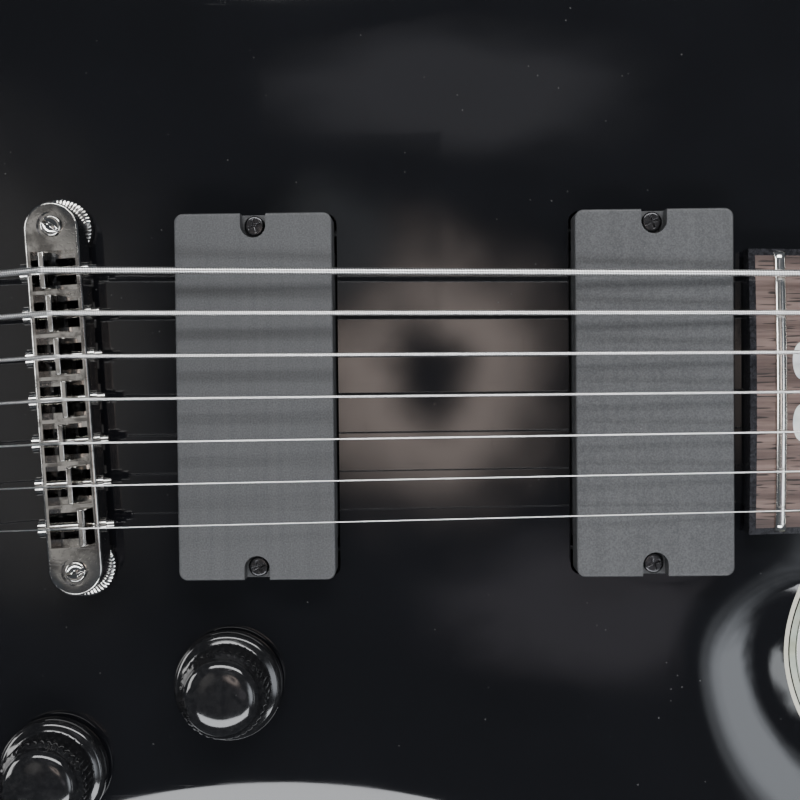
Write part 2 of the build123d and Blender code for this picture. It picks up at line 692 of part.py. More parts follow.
def make_bridge():
    """Bridge frame, its height posts with thumb wheels, and the sleeves pressed into the body."""
    frame = Pos(0, 0, FRAME_LOW) * extrude(SlotOverall(BRIDGE_LENGTH, BRIDGE_WIDTH), amount=BRIDGE_HEIGHT)
    frame = fillet(frame.faces().sort_by(Axis.Z)[-1].edges(), 0.6)
    for number in range(STRING_COUNT):
        x = pocket_x(number)
        frame -= block(POCKET_LENGTH, POCKET_WIDTH, LEDGE_Z, FRAME_TOP + 1, x, 0)
        frame -= block(POCKET_THROAT, POCKET_WIDTH, FRAME_LOW - 1, FRAME_TOP, x, 0)
        frame -= screw_hole(x)
    posts = []
    sleeves = []
    for side in (-1, 1):
        x = side * POST_SPACING / 2
        frame -= rod(POST_RADIUS + 0.1, FRAME_LOW - 1, FRAME_TOP + 1, x)
        frame -= rod(POST_RING_RADIUS, FRAME_TOP - POST_RING_DEPTH, FRAME_TOP + 1, x)
        post = rod(POST_RADIUS, FRAME_LOW - WHEEL_THICK, FRAME_TOP + 0.3, x)
        post += rod(STUD_RADIUS, BODY_TOP - BUSHING_DEPTH + 2, FRAME_LOW - WHEEL_THICK, x)
        post -= Pos(x, 0, FRAME_TOP + 0.3) * Rot(0, 0, 25 * side) * Box(8, 1.0, 2.0)
        wheel = tube(WHEEL_RADIUS, POST_RADIUS + 0.02, FRAME_LOW - WHEEL_THICK, FRAME_LOW, x)
        posts.append(BRIDGE * post)
        posts.append(BRIDGE * wheel)
        sleeve = tube(BUSHING_RADIUS, STUD_RADIUS + 0.02, BODY_TOP - BUSHING_DEPTH, BODY_TOP + 0.2, x)
        sleeves.append(BRIDGE * sleeve)
    save("bridge_frame", [BRIDGE * frame])
    save("bridge_posts", posts)
    for number in range(STRING_COUNT):
        spot = ferrule_spot(number)
        low = BODY_TOP - FERRULE_DEPTH
        top = tube(FERRULE_RADIUS, FERRULE_HOLE_RADIUS, low, BODY_TOP + FERRULE_PROUD, spot.X, spot.Y)
        sleeves.append(top)
        back = rod(FERRULE_RADIUS, BODY_BACK, BODY_BACK + FERRULE_DEPTH, spot.X, spot.Y)
        back -= rod(BALL_RADIUS + 0.3, BODY_BACK - 1, BODY_BACK + BALL_LENGTH + 1.9, spot.X, spot.Y)
        back -= rod(FERRULE_HOLE_RADIUS, BODY_BACK, BODY_BACK + FERRULE_DEPTH + 1, spot.X, spot.Y)
        sleeves.append(back)
    save("body_ferrules", sleeves)


def saddle(number):
    """One saddle: a block that narrows to a crest, with a cross hole for its screw."""
    x = pocket_x(number)
    low = LEDGE_Z + SADDLE_GAP
    high = crest_height(number)
    half = SADDLE_BASE / 2
    shoulder = low + SADDLE_SHOULDER
    crest = SADDLE_CREST / 2
    profile = Polyline(
        (-half, low), (half, low), (half, shoulder), (crest, high), (-crest, high), (-half, shoulder),
        close=True,
    )
    wedge = extrude(Plane.YZ * make_face(profile), amount=SADDLE_LENGTH / 2, both=True)
    wedge = Pos(x, SADDLE_OFFSETS[number], 0) * wedge
    return BRIDGE * (wedge - screw_hole(x))


def saddle_screw(number):
    """One intonation screw, lying along the string through its saddle."""
    x = pocket_x(number)
    half = BRIDGE_WIDTH / 2 + 0.02
    shank = rod_along(SCREW_RADIUS, (x, -half, SCREW_Z), (x, half + SCREW_TIP_LENGTH, SCREW_Z))
    head = rod_along(SCREW_HEAD_RADIUS, (x, -half - SCREW_HEAD_LENGTH, SCREW_Z), (x, -half, SCREW_Z))
    head -= Pos(x, -half - SCREW_HEAD_LENGTH, SCREW_Z) * Box(6, 1.4, 0.6)
    collar = rod_along(SCREW_COLLAR_RADIUS, (x, half, SCREW_Z), (x, half + SCREW_COLLAR_LENGTH, SCREW_Z))
    return BRIDGE * (shank + head + collar)


def make_saddles():
    """The seven saddles and their screws."""
    for number in range(STRING_COUNT):
        save(f"saddle_{number + 1}", [saddle(number)])
        save(f"saddle_screw_{number + 1}", [saddle_screw(number)])


# ------------------------------------------------------------------ tuners


def outward(number):
    """The side that a tuner's button points to: -1 bass, +1 treble."""
    return -1 if POSTS[number][0] < 0 else 1


def tuner_housing(number):
    """The closed gear box behind the headstock, with room for gear and worm."""
    x, y = POSTS[number]
    middle_y = y + (WORM_OFFSET - GEAR_RADIUS + WORM_RADIUS) / 2
    inner_length = GEAR_RADIUS * 2 + 0.6
    inner_width = GEAR_RADIUS + WORM_OFFSET + WORM_RADIUS + 0.8
    low = HEAD_BACK - HOUSING_HEIGHT
    outer = block(HOUSING_LENGTH, inner_width + 2 * HOUSING_WALL, low, HEAD_BACK, x, middle_y)
    outer = fillet(outer.edges().filter_by(Axis.Z), 2.5)
    lug_x, lug_y = HOUSING_SCREWS[number]
    lug = rod(LUG_RADIUS, HEAD_BACK - LUG_THICK, HEAD_BACK, lug_x, lug_y)
    lug += block(2 * LUG_RADIUS, 5, HEAD_BACK - LUG_THICK, HEAD_BACK, lug_x, lug_y + 2.5)
    outer += lug - rod(1.0, HEAD_BACK - 5, HEAD_BACK + 1, lug_x, lug_y)
    outer -= block(inner_length, inner_width, low + HOUSING_WALL, HEAD_BACK - HOUSING_WALL, x, middle_y)
    outer -= rod(TUNER_POST_RADIUS + RUNNING_GAP, WORM_Z, HEAD_BACK + 1, x, y)
    outer -= rod(1.5 + RUNNING_GAP, HEAD_BACK - HOUSING_HEIGHT + 0.5, WORM_Z, x, y)
    shaft_y = y + WORM_OFFSET
    side = outward(number)
    axle = (x, shaft_y, WORM_Z)
    outer -= rod_along(BUTTON_SHAFT_RADIUS + RUNNING_GAP, axle, (x + side * 20, shaft_y, WORM_Z))
    outer -= rod_along(1.2 + RUNNING_GAP, axle, (x - side * 8.6, shaft_y, WORM_Z))
    return HEAD * outer


def tuner_bushing(number):
    """The threaded sleeve and hex nut on the face of the headstock."""
    x, y = POSTS[number]
    sleeve = tube(TUNER_SLEEVE_RADIUS, TUNER_POST_RADIUS + RUNNING_GAP, HEAD_BACK, TUNER_NUT_HEIGHT, x, y)
    ring = Pos(x, y, 0) * extrude(RegularPolygon(TUNER_NUT_RADIUS, 6), amount=TUNER_NUT_HEIGHT - 0.7)
    washer = tube(TUNER_NUT_RADIUS + 0.6, TUNER_SLEEVE_RADIUS - 0.5, 0, 0.8, x, y)
    return HEAD * (sleeve + (ring - rod(TUNER_POST_RADIUS + RUNNING_GAP, -1, 9, x, y)) + washer)


def tuner_post(number):
    """A string post with its gear wheel, turning in the sleeve."""
    x, y = POSTS[number]
    post = rod(TUNER_POST_RADIUS, GEAR_TOP - GEAR_THICK, TUNER_POST_HEIGHT, x, y)
    post = fillet(post.faces().sort_by(Axis.Z)[-1].edges(), 0.6)
    post += rod(GEAR_RADIUS, GEAR_TOP - GEAR_THICK, GEAR_TOP, x, y)
    post += rod(1.5, HEAD_BACK - HOUSING_HEIGHT + 0.6, GEAR_TOP, x, y)
    hole = rod_along(1.0, (x - 6, y, TUNER_POST_HEIGHT - 3.2), (x + 6, y, TUNER_POST_HEIGHT - 3.2))
    return HEAD * (post - hole)


def tuner_button(number):
    """A worm, its shaft and the oval button that turns it."""
    x, y = POSTS[number]
    side = outward(number)
    shaft_y = y + WORM_OFFSET
    shaft = rod_along(BUTTON_SHAFT_RADIUS, (x, shaft_y, WORM_Z), (x + side * BUTTON_REACH, shaft_y, WORM_Z))
    half = WORM_LENGTH / 2
    worm = rod_along(WORM_RADIUS, (x - side * half, shaft_y, WORM_Z), (x + side * half, shaft_y, WORM_Z))
    tail = rod_along(1.2, (x, shaft_y, WORM_Z), (x - side * 8.5, shaft_y, WORM_Z))
    outline = Ellipse(BUTTON_LENGTH / 2, BUTTON_SPAN / 2)
    button = extrude(outline, amount=BUTTON_THICK / 2, both=True)
    button = fillet(button.edges(), BUTTON_THICK / 2 - 0.6)
    centre = x + side * (BUTTON_REACH + BUTTON_LENGTH / 2 - 1.5)
    button = Pos(centre, shaft_y, WORM_Z) * button
    return HEAD * (shaft + worm + tail + button)


def make_tuners():
    """Seven tuners: shared housings and sleeves, and moving posts and buttons."""
    fixed = []
    for number in range(STRING_COUNT):
        fixed.append(tuner_housing(number))
        fixed.append(tuner_bushing(number))
        save(f"tuner_post_{number + 1}", [tuner_post(number)])
        save(f"tuner_button_{number + 1}", [tuner_button(number)])
    save("tuner_housings", fixed)


# ------------------------------------------------------------------ controls


def knob(x, y):
    """A tiered knob with a domed top, hollow below, on its potentiometer shaft."""
    low = BODY_TOP + KNOB_LIFT
    high = low + KNOB_HEIGHT
    skirt = rod(KNOB_RADIUS, low, low + KNOB_SKIRT)
    skirt = fillet(skirt.faces().sort_by(Axis.Z)[-1].edges(), 1.5)
    upper = rod(KNOB_UPPER_RADIUS, low, high)
    upper = fillet(upper.faces().sort_by(Axis.Z)[-1].edges(), 3.0)
    shell = skirt + upper
    shell -= rod(KNOB_UPPER_RADIUS - 2, low - 1, low + POT_BUSHING_HEIGHT + 1)
    shaft_high = high - 4
    shell -= rod(POT_SHAFT_RADIUS, low - 1, shaft_high)
    shaft = rod(POT_SHAFT_RADIUS, CAVITY_TOP - 4, shaft_high)
    return [Pos(x, y, 0) * shell, Pos(x, y, 0) * shaft]


def potentiometer(x, y):
    """A potentiometer can with its threaded bushing and nut."""
    can = rod(POT_RADIUS, CAVITY_TOP - POT_HEIGHT, CAVITY_TOP)
    can += rod(POT_BUSHING_RADIUS - 0.1, CAVITY_TOP, BODY_TOP + POT_BUSHING_HEIGHT)
    can -= rod(POT_SHAFT_RADIUS + RUNNING_GAP, CAVITY_TOP - 5, BODY_TOP + 9)
    ring = extrude(RegularPolygon(6.5, 6), amount=2.4) - Cylinder(POT_BUSHING_RADIUS - 0.08, 9)
    lugs = [block(2.4, 6, CAVITY_TOP - 9, CAVITY_TOP - 8, 4.5 * k, -POT_RADIUS - 2.5) for k in (-1, 0, 1)]
    for lug in lugs:
        can += lug
    return [Pos(x, y, 0) * can, Pos(x, y, BODY_TOP) * ring]


def toggle_switch():
    """The pickup selector's body below the top, with its round nut."""
    x, y = TOGGLE_SPOT
    barrel = rod(TOGGLE_NUT_RADIUS - 1.1, CAVITY_TOP - 3, BODY_TOP)
    case = block(16, 24, CAVITY_TOP - 16, CAVITY_TOP)
    ring = rod(TOGGLE_NUT_RADIUS, BODY_TOP, BODY_TOP + 2.2)
    switch = barrel + case + ring
    cone = Pos(0, 0, TOGGLE_PIVOT) * Sphere(3.0)
    switch -= cone
    funnel = Pos(0, 0, TOGGLE_PIVOT + 8) * Cone(3.0, 5.4, 16)
    switch -= funnel
    return Pos(x, y, 0) * switch


def toggle_lever():
    """The selector's lever, a ball at its pivot and a barrel tip."""
    x, y = TOGGLE_SPOT
    ball = Pos(0, 0, TOGGLE_PIVOT) * Sphere(2.7)
    stem = rod(LEVER_RADIUS, TOGGLE_PIVOT, BODY_TOP + LEVER_HEIGHT)
    tip = rod(3.0, BODY_TOP + LEVER_HEIGHT - 8, BODY_TOP + LEVER_HEIGHT + 2)
    tip = fillet(tip.edges(), 1.2)
    return Pos(x, y, 0) * (ball + stem + tip)


def wire(points, radius=0.9, bend=5.0):
    """An insulated wire with rounded bends."""
    if len(points) > 2:
        path = FilletPolyline(*points, radius=bend)
    else:
        path = Line(*points)
    return sweep(Plane(path @ 0, z_dir=path % 0) * Circle(radius), path=path)


def make_controls():
    """Knobs, potentiometers, selector switch, battery and wiring."""
    pots = []
    for name, (x, y) in zip(("volume_knob_1", "volume_knob_2", "tone_knob"), KNOB_SPOTS):
        save(name, knob(x, y))
        pots.extend(potentiometer(x, y))
    save("potentiometers", pots)
    save("toggle_switch", [toggle_switch()])
    save("toggle_lever", [toggle_lever()])
    width, length, height = BATTERY
    x, y = BATTERY_SPOT
    cell = block(width, length - 1, CAVITY_CLEAR + 0.5, CAVITY_CLEAR + 0.5 + height, 0, -0.5)
    cell = fillet(cell.edges().filter_by(Axis.Y), 2.0)
    snaps = [Rot(90, 0, 0) * Pos(k * 6.3, CAVITY_CLEAR + 9, -length / 2) * Cylinder(2.8, 3) for k in (-1, 1)]
    turned = Pos(x, y, 0) * Rot(0, 0, 90)
    save("battery", [turned * (cell + snaps[0] + snaps[1])])
    start = BODY_TOP + NECK_PICKUP_PROUD - PICKUP_HEIGHT - PICKUP_BASE - 1.0
    runs = [
        [
            (DUCT_X, NECK_PICKUP_Y, start), (DUCT_X, NECK_PICKUP_Y - 14, DUCT_Z),
            (DUCT_X, DUCT_Y + 1, DUCT_Z - 1.2), (71, DUCT_Y + 1, DUCT_Z - 1.2),
        ],
        [
            (TOGGLE_SPOT[0] + 9, TOGGLE_SPOT[1], -8), (96, -723, -11), (116, -742, JACK_Z + 1),
            (JACK_X - JACK_LENGTH - 1, JACK_Y, JACK_Z),
        ],
    ]
    save("wiring", [wire(run) for run in runs])


# ------------------------------------------------------------------ fasteners


def strap_spots():
    """Where the strap buttons sit: lower end of the body and the bass horn, with directions."""
    middle = BODY_BACK + BODY_THICK / 2 - 2
    return [(Vector(0, -871, middle), Vector(0, -1, 0)), (Vector(-127, -396, middle), Vector(0, 1, 0))]


def strap_button(spot, way):
    """A waisted strap button with a countersunk hole along its axis."""
    profile = Polyline(
        (2.1, 0.2), (STRAP_RADIUS - 1, 0.2), (STRAP_WAIST, 3.0), (STRAP_WAIST, 7.0), (STRAP_RADIUS, 9.0),
        (STRAP_RADIUS, STRAP_LENGTH), (4.0, STRAP_LENGTH), (2.1, STRAP_LENGTH - 2.5), close=True,
    )
    turned = revolve(Plane.XZ * make_face(profile), axis=Axis.Z)
    return Plane(spot, z_dir=way).location * turned


def wood_screw(spot, way, radius, head_radius, length):
    """A wood screw with a low head, its head's seat at the spot."""
    seat = Plane(spot, z_dir=way).location
    shank = rod(radius, -length, 0.3)
    head = cross_head(head_radius, 1.4, 0, 0, 0, head_radius * 1.3)
    return seat * (shank + head)


def screw_list():
    """Every screw in the body and headstock: seat, direction, radius, head radius, length."""
    found = []
    for x, y in COVER_HOLES:
        seat = Vector(x, y, BODY_BACK + COVER_HEAD_SINK)
        found.append((seat, Vector(0, 0, -1), 1.5, COVER_HEAD_RADIUS, 12))
    for y, z in JACK_SCREWS:
        found.append((Vector(JACK_X, y, z), Vector(1, 0, 0), 1.1, 2.2, 10))
    for spot, way in strap_spots():
        found.append((spot + way * (STRAP_LENGTH - 2.5), way, 1.9, 2.1, 28))
    return found


def head_screw_list():
    """Screws on the headstock, in its own frame."""
    found = [(Vector(x, y, 2.0), Vector(0, 0, 1), 0.95, 1.9, 8) for x, y in COVER_SCREWS]
    for x, y in HOUSING_SCREWS:
        found.append((Vector(x, y, HEAD_BACK - LUG_THICK), Vector(0, 0, -1), 0.95, 1.9, 7))
    return found


def screw_holes():
    """The pilot holes that the body's screws fill."""
    holes = []
    for spot, way, radius, _, length in screw_list():
        holes.append(rod_along(radius, spot - way * length, spot + way * 3))
    for y in (BRIDGE_PICKUP_Y, NECK_PICKUP_Y):
        for x, spot_y in pickup_screw_spots(y):
            holes.append(rod(1.3, BODY_TOP - ROUTE_DEPTH - 4, BODY_TOP, x, spot_y))
    return holes


def make_fasteners():
    """Strap buttons and all the wood screws."""
    save("strap_buttons", [strap_button(spot, way) for spot, way in strap_spots()])
    screws = [wood_screw(*entry) for entry in screw_list()]
    screws += [HEAD * wood_screw(*entry) for entry in head_screw_list()]
    save("body_screws", screws)


make_body()
make_neck()
make_fretboard()
make_strings()
make_pickups()
make_bridge()
make_saddles()
make_tuners()
make_controls()
make_jack()
make_cover()
make_fasteners()
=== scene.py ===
import logging
import math
from dataclasses import dataclass, field
from enum import Enum
from typing import Callable, Iterable, Optional, Sequence

import bmesh
import bpy
import numpy as np
from mathutils import Matrix, Vector
from mathutils.geometry import delaunay_2d_cdt


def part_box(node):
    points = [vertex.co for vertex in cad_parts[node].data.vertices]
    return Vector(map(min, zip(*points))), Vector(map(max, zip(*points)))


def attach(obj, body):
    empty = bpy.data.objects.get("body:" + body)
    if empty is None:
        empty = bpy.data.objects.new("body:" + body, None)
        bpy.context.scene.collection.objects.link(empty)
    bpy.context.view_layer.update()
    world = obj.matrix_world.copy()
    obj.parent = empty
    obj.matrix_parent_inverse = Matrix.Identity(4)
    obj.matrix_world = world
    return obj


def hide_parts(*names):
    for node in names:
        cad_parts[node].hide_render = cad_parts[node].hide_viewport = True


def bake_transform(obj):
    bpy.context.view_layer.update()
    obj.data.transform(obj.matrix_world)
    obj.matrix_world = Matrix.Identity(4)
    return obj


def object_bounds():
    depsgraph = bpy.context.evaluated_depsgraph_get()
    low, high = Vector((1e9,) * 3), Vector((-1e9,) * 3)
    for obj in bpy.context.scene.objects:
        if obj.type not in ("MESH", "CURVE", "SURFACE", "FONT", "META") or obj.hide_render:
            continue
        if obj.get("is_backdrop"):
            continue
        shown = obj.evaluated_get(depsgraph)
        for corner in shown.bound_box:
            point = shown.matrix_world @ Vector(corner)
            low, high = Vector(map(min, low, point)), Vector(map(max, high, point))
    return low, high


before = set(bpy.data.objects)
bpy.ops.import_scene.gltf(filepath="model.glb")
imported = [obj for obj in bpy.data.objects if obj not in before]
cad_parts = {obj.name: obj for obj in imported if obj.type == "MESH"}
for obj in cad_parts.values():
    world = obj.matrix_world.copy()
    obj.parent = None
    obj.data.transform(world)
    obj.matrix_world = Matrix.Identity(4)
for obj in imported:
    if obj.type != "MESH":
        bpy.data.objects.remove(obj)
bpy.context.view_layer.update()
LOG = logging.getLogger("guitar")

# Sizes below are millimetres in the bench frame: the guitar on its back, x to the treble
# side, y along the neck to the headstock, z out of the face, nut at the origin.
STRINGS = 7
WOUND = 4
SCALE = 673.1
NUT_SPREAD = 43.4
BRIDGE_SPREAD = 62.0
STRING_DIA = (1.60, 1.22, 0.92, 0.70, 0.50, 0.40, 0.32)
ACTION_NUT = 0.6
ACTION_BRIDGE = 2.7
TAIL_DISTANCE = 55.0
SADDLE_OFFSETS = (-2.1, -0.8, 0.4, 1.35, -0.2, 1.0, 2.8)
NECK_ANGLE = 1.6
HEAD_ANGLE = 11.0
NUT_WIDTH = 49.5
BOARD_END_WIDTH = 69.5
BOARD_THICK = 6.0
BOARD_RADIUS = 406.0
FRETS = 24
FRET_TOP = 7.2
LAST_FRET = SCALE * (1 - 2 ** (-FRETS / 12))
BOARD_LENGTH = LAST_FRET + 7.5
BODY_THICK = 45.0
BODY_TOP = BOARD_LENGTH * math.tan(math.radians(NECK_ANGLE)) - 2.0
BODY_BACK = BODY_TOP - BODY_THICK
CAVITY_TOP = BODY_TOP - 7.0
NECK_PICKUP_Y = -(LAST_FRET + 30.2)
BRIDGE_PICKUP_Y = NECK_PICKUP_Y - 96.7
BRIDGE_Y = -SCALE - 4.5
BRIDGE_SLANT = 3.15
POST_SPACING = 83.5
POST_RADIUS = 2.45
STUD_RADIUS = 3.9
BUSHING_RADIUS = 5.5
BUSHING_DEPTH = 18.0
PICKUP_ROUTE = (90.1, 39.3, 2.4)
FERRULE_RADIUS = 3.6
FERRULE_DEPTH = 9.0
STRING_HOLE_RADIUS = 1.9
POT_BUSHING_RADIUS = 3.9
TOGGLE_BUSHING_RADIUS = 6.0
JACK_SEAT = (171, -748)
TUNER_REACH = 3.05
TURNS_HEIGHT = 5.6
POSTS = ((-24, 42), (-22.5, 71), (-20.5, 100), (-18, 129), (20.5, 100), (22.5, 71), (24, 42))
KNOBS = {"volume_knob_1": (71.5, -640.0), "volume_knob_2": (93.0, -684.0), "tone_knob": (104.0, -732.0)}
TOGGLE = (70.0, -716.0)
BODY_OUTLINE = (
    (0, -441), (25, -461), (36, -484), (62, -496.5), (88, -488), (101, -463), (107, -440),
    (118, -428), (132, -436), (147, -466), (150, -510), (138, -560), (124, -612), (127, -662),
    (147, -718), (163, -775), (154, -826), (112, -857), (50, -869), (0, -871), (-50, -869),
    (-112, -857), (-154, -826), (-164, -775), (-147, -718), (-127, -662), (-124, -612),
    (-138, -558), (-152, -505), (-154, -455), (-143, -412), (-127, -396), (-111, -402),
    (-101, -425), (-88, -455), (-66, -472), (-42, -466), (-28, -446),
)
CAVITY_OUTLINE = (
    (54, -622), (88, -622), (112, -668), (124, -712), (128, -760), (122, -806), (60, -806), (54, -760),
)

Points = np.ndarray


# ---------------------------------------------------------------- places and shapes


def turned(axis: str, degrees: float) -> np.ndarray:
    """The 4x4 matrix that turns about one axis by the right-hand rule."""
    return np.array(Matrix.Rotation(math.radians(degrees), 4, axis))


def shifted(x: float, y: float, z: float) -> np.ndarray:
    """The 4x4 matrix that moves by (x, y, z)."""
    return np.array(Matrix.Translation((x, y, z)))


NECK = turned("X", -NECK_ANGLE)
HEAD = NECK @ shifted(0, 5, 0) @ turned("X", -HEAD_ANGLE)
BRIDGE = shifted(0, BRIDGE_Y, 0) @ turned("Z", BRIDGE_SLANT)


def moved(points: Points, matrix: np.ndarray) -> Points:
    """Points after a 4x4 matrix."""
    return np.asarray(points, float) @ matrix[:3, :3].T + matrix[:3, 3]


def row(points: Points) -> Points:
    """Bench millimetres to the shared frame in metres: (x, y, z) becomes (x, -z, y)."""
    points = np.asarray(points, float)
    return np.stack([points[..., 0], -points[..., 2], points[..., 1]], axis=-1) * 0.001


def smooth_loop(points: Sequence[Sequence[float]], per_span: int) -> Points:
    """A closed smooth curve through points.

    Each span is a cubic whose second derivatives come from one linear system, with the
    chord lengths as the parameter, so slope and curvature run on through every point.

    Args:
        points: The points in order, (x, y).
        per_span: How many samples each span gets.

    Returns:
        An array of (x, y) samples.
    """
    knots = np.asarray(points, float)
    after = np.roll(knots, -1, axis=0)
    gap = np.linalg.norm(after - knots, axis=1)
    before = np.roll(gap, 1)
    count = len(knots)
    index = np.arange(count)
    system = np.zeros((count, count))
    system[index, index] = 2 * (before + gap)
    system[index, (index + 1) % count] = gap
    system[index, (index - 1) % count] = before
    slope = (after - knots) / gap[:, None]
    bend = np.linalg.solve(system, 6 * (slope - np.roll(slope, 1, axis=0)))
    share = (np.arange(per_span) / per_span)[None, :, None]
    span = gap[:, None, None]
    left, right = bend[:, None], np.roll(bend, -1, axis=0)[:, None]
    cubic = (
        knots[:, None] * (1 - share) + after[:, None] * share
        + span**2 / 6 * (((1 - share) ** 3 - (1 - share)) * left + (share**3 - share) * right)
    )
    return cubic.reshape(-1, 2)


def inset_loop(loop: Points, inset: float) -> Points:
    """A clockwise loop moved towards its inside, along the normal at each sample."""
    along = np.roll(loop, -1, axis=0) - np.roll(loop, 1, axis=0)
    along /= np.linalg.norm(along, axis=1)[:, None]
    return loop + inset * np.stack([along[:, 1], -along[:, 0]], axis=1)


def circle(radius: float, x: float, y: float, count: int = 40) -> Points:
    """A circle as (x, y) samples."""
    angle = np.linspace(0, 2 * np.pi, count, endpoint=False)
    return np.stack([x + radius * np.cos(angle), y + radius * np.sin(angle)], axis=1)


def grown_loop(corners: Sequence[Sequence[float]], grow: float, arc: int = 8) -> Points:
    """A convex, clockwise polygon grown by a distance, with an arc round each corner."""
    corners = np.asarray(corners, float)
    edge = np.roll(corners, -1, axis=0) - corners
    heading = np.unwrap(np.arctan2(edge[:, 1], edge[:, 0]) + np.pi / 2)
    start = np.roll(heading, 1)
    start[0] += 2 * np.pi * np.round((heading[0] - start[0]) / (2 * np.pi))
    angle = start[:, None] + (heading - start)[:, None] * np.linspace(0, 1, arc)[None, :]
    return (corners[:, None] + grow * np.stack([np.cos(angle), np.sin(angle)], axis=-1)).reshape(-1, 2)


def rounded_box(width: float, length: float, radius: float, x: float, y: float) -> Points:
    """A rectangle with rounded corners, as a clockwise loop."""
    a, b = width / 2 - radius, length / 2 - radius
    corners = ((x - a, y + b), (x + a, y + b), (x + a, y - b), (x - a, y - b))
    return grown_loop(corners, radius)


def inside(points: Points, loop: Points) -> np.ndarray:
    """Which points lie inside a loop: a ray along +x crosses its edges an odd number of times."""
    x, y = points[:, :1], points[:, 1:2]
    a, b = loop, np.roll(loop, -1, axis=0)
    spans = (a[None, :, 1] > y) != (b[None, :, 1] > y)
    rise = np.where(b[:, 1] == a[:, 1], 1e-12, b[:, 1] - a[:, 1])
    cross = a[None, :, 0] + (y - a[None, :, 1]) * (b[:, 0] - a[:, 0])[None] / rise[None]
    return (spans & (x < cross)).sum(axis=1) % 2 == 1


def edge_distance(points: Points, loop: Points) -> np.ndarray:
    """Distance from each point to the nearest edge of a loop."""
    a, b = loop, np.roll(loop, -1, axis=0)
    way = b - a
    length = (way**2).sum(axis=1)
    nearest = np.full(len(points), np.inf)
    for part in np.array_split(np.arange(len(points)), max(1, len(points) // 2000)):
        gap = points[part][:, None] - a[None]
        share = np.clip((gap * way[None]).sum(axis=2) / length[None], 0, 1)
        nearest[part] = np.linalg.norm(gap - share[..., None] * way[None], axis=2).min(axis=1)
    return nearest


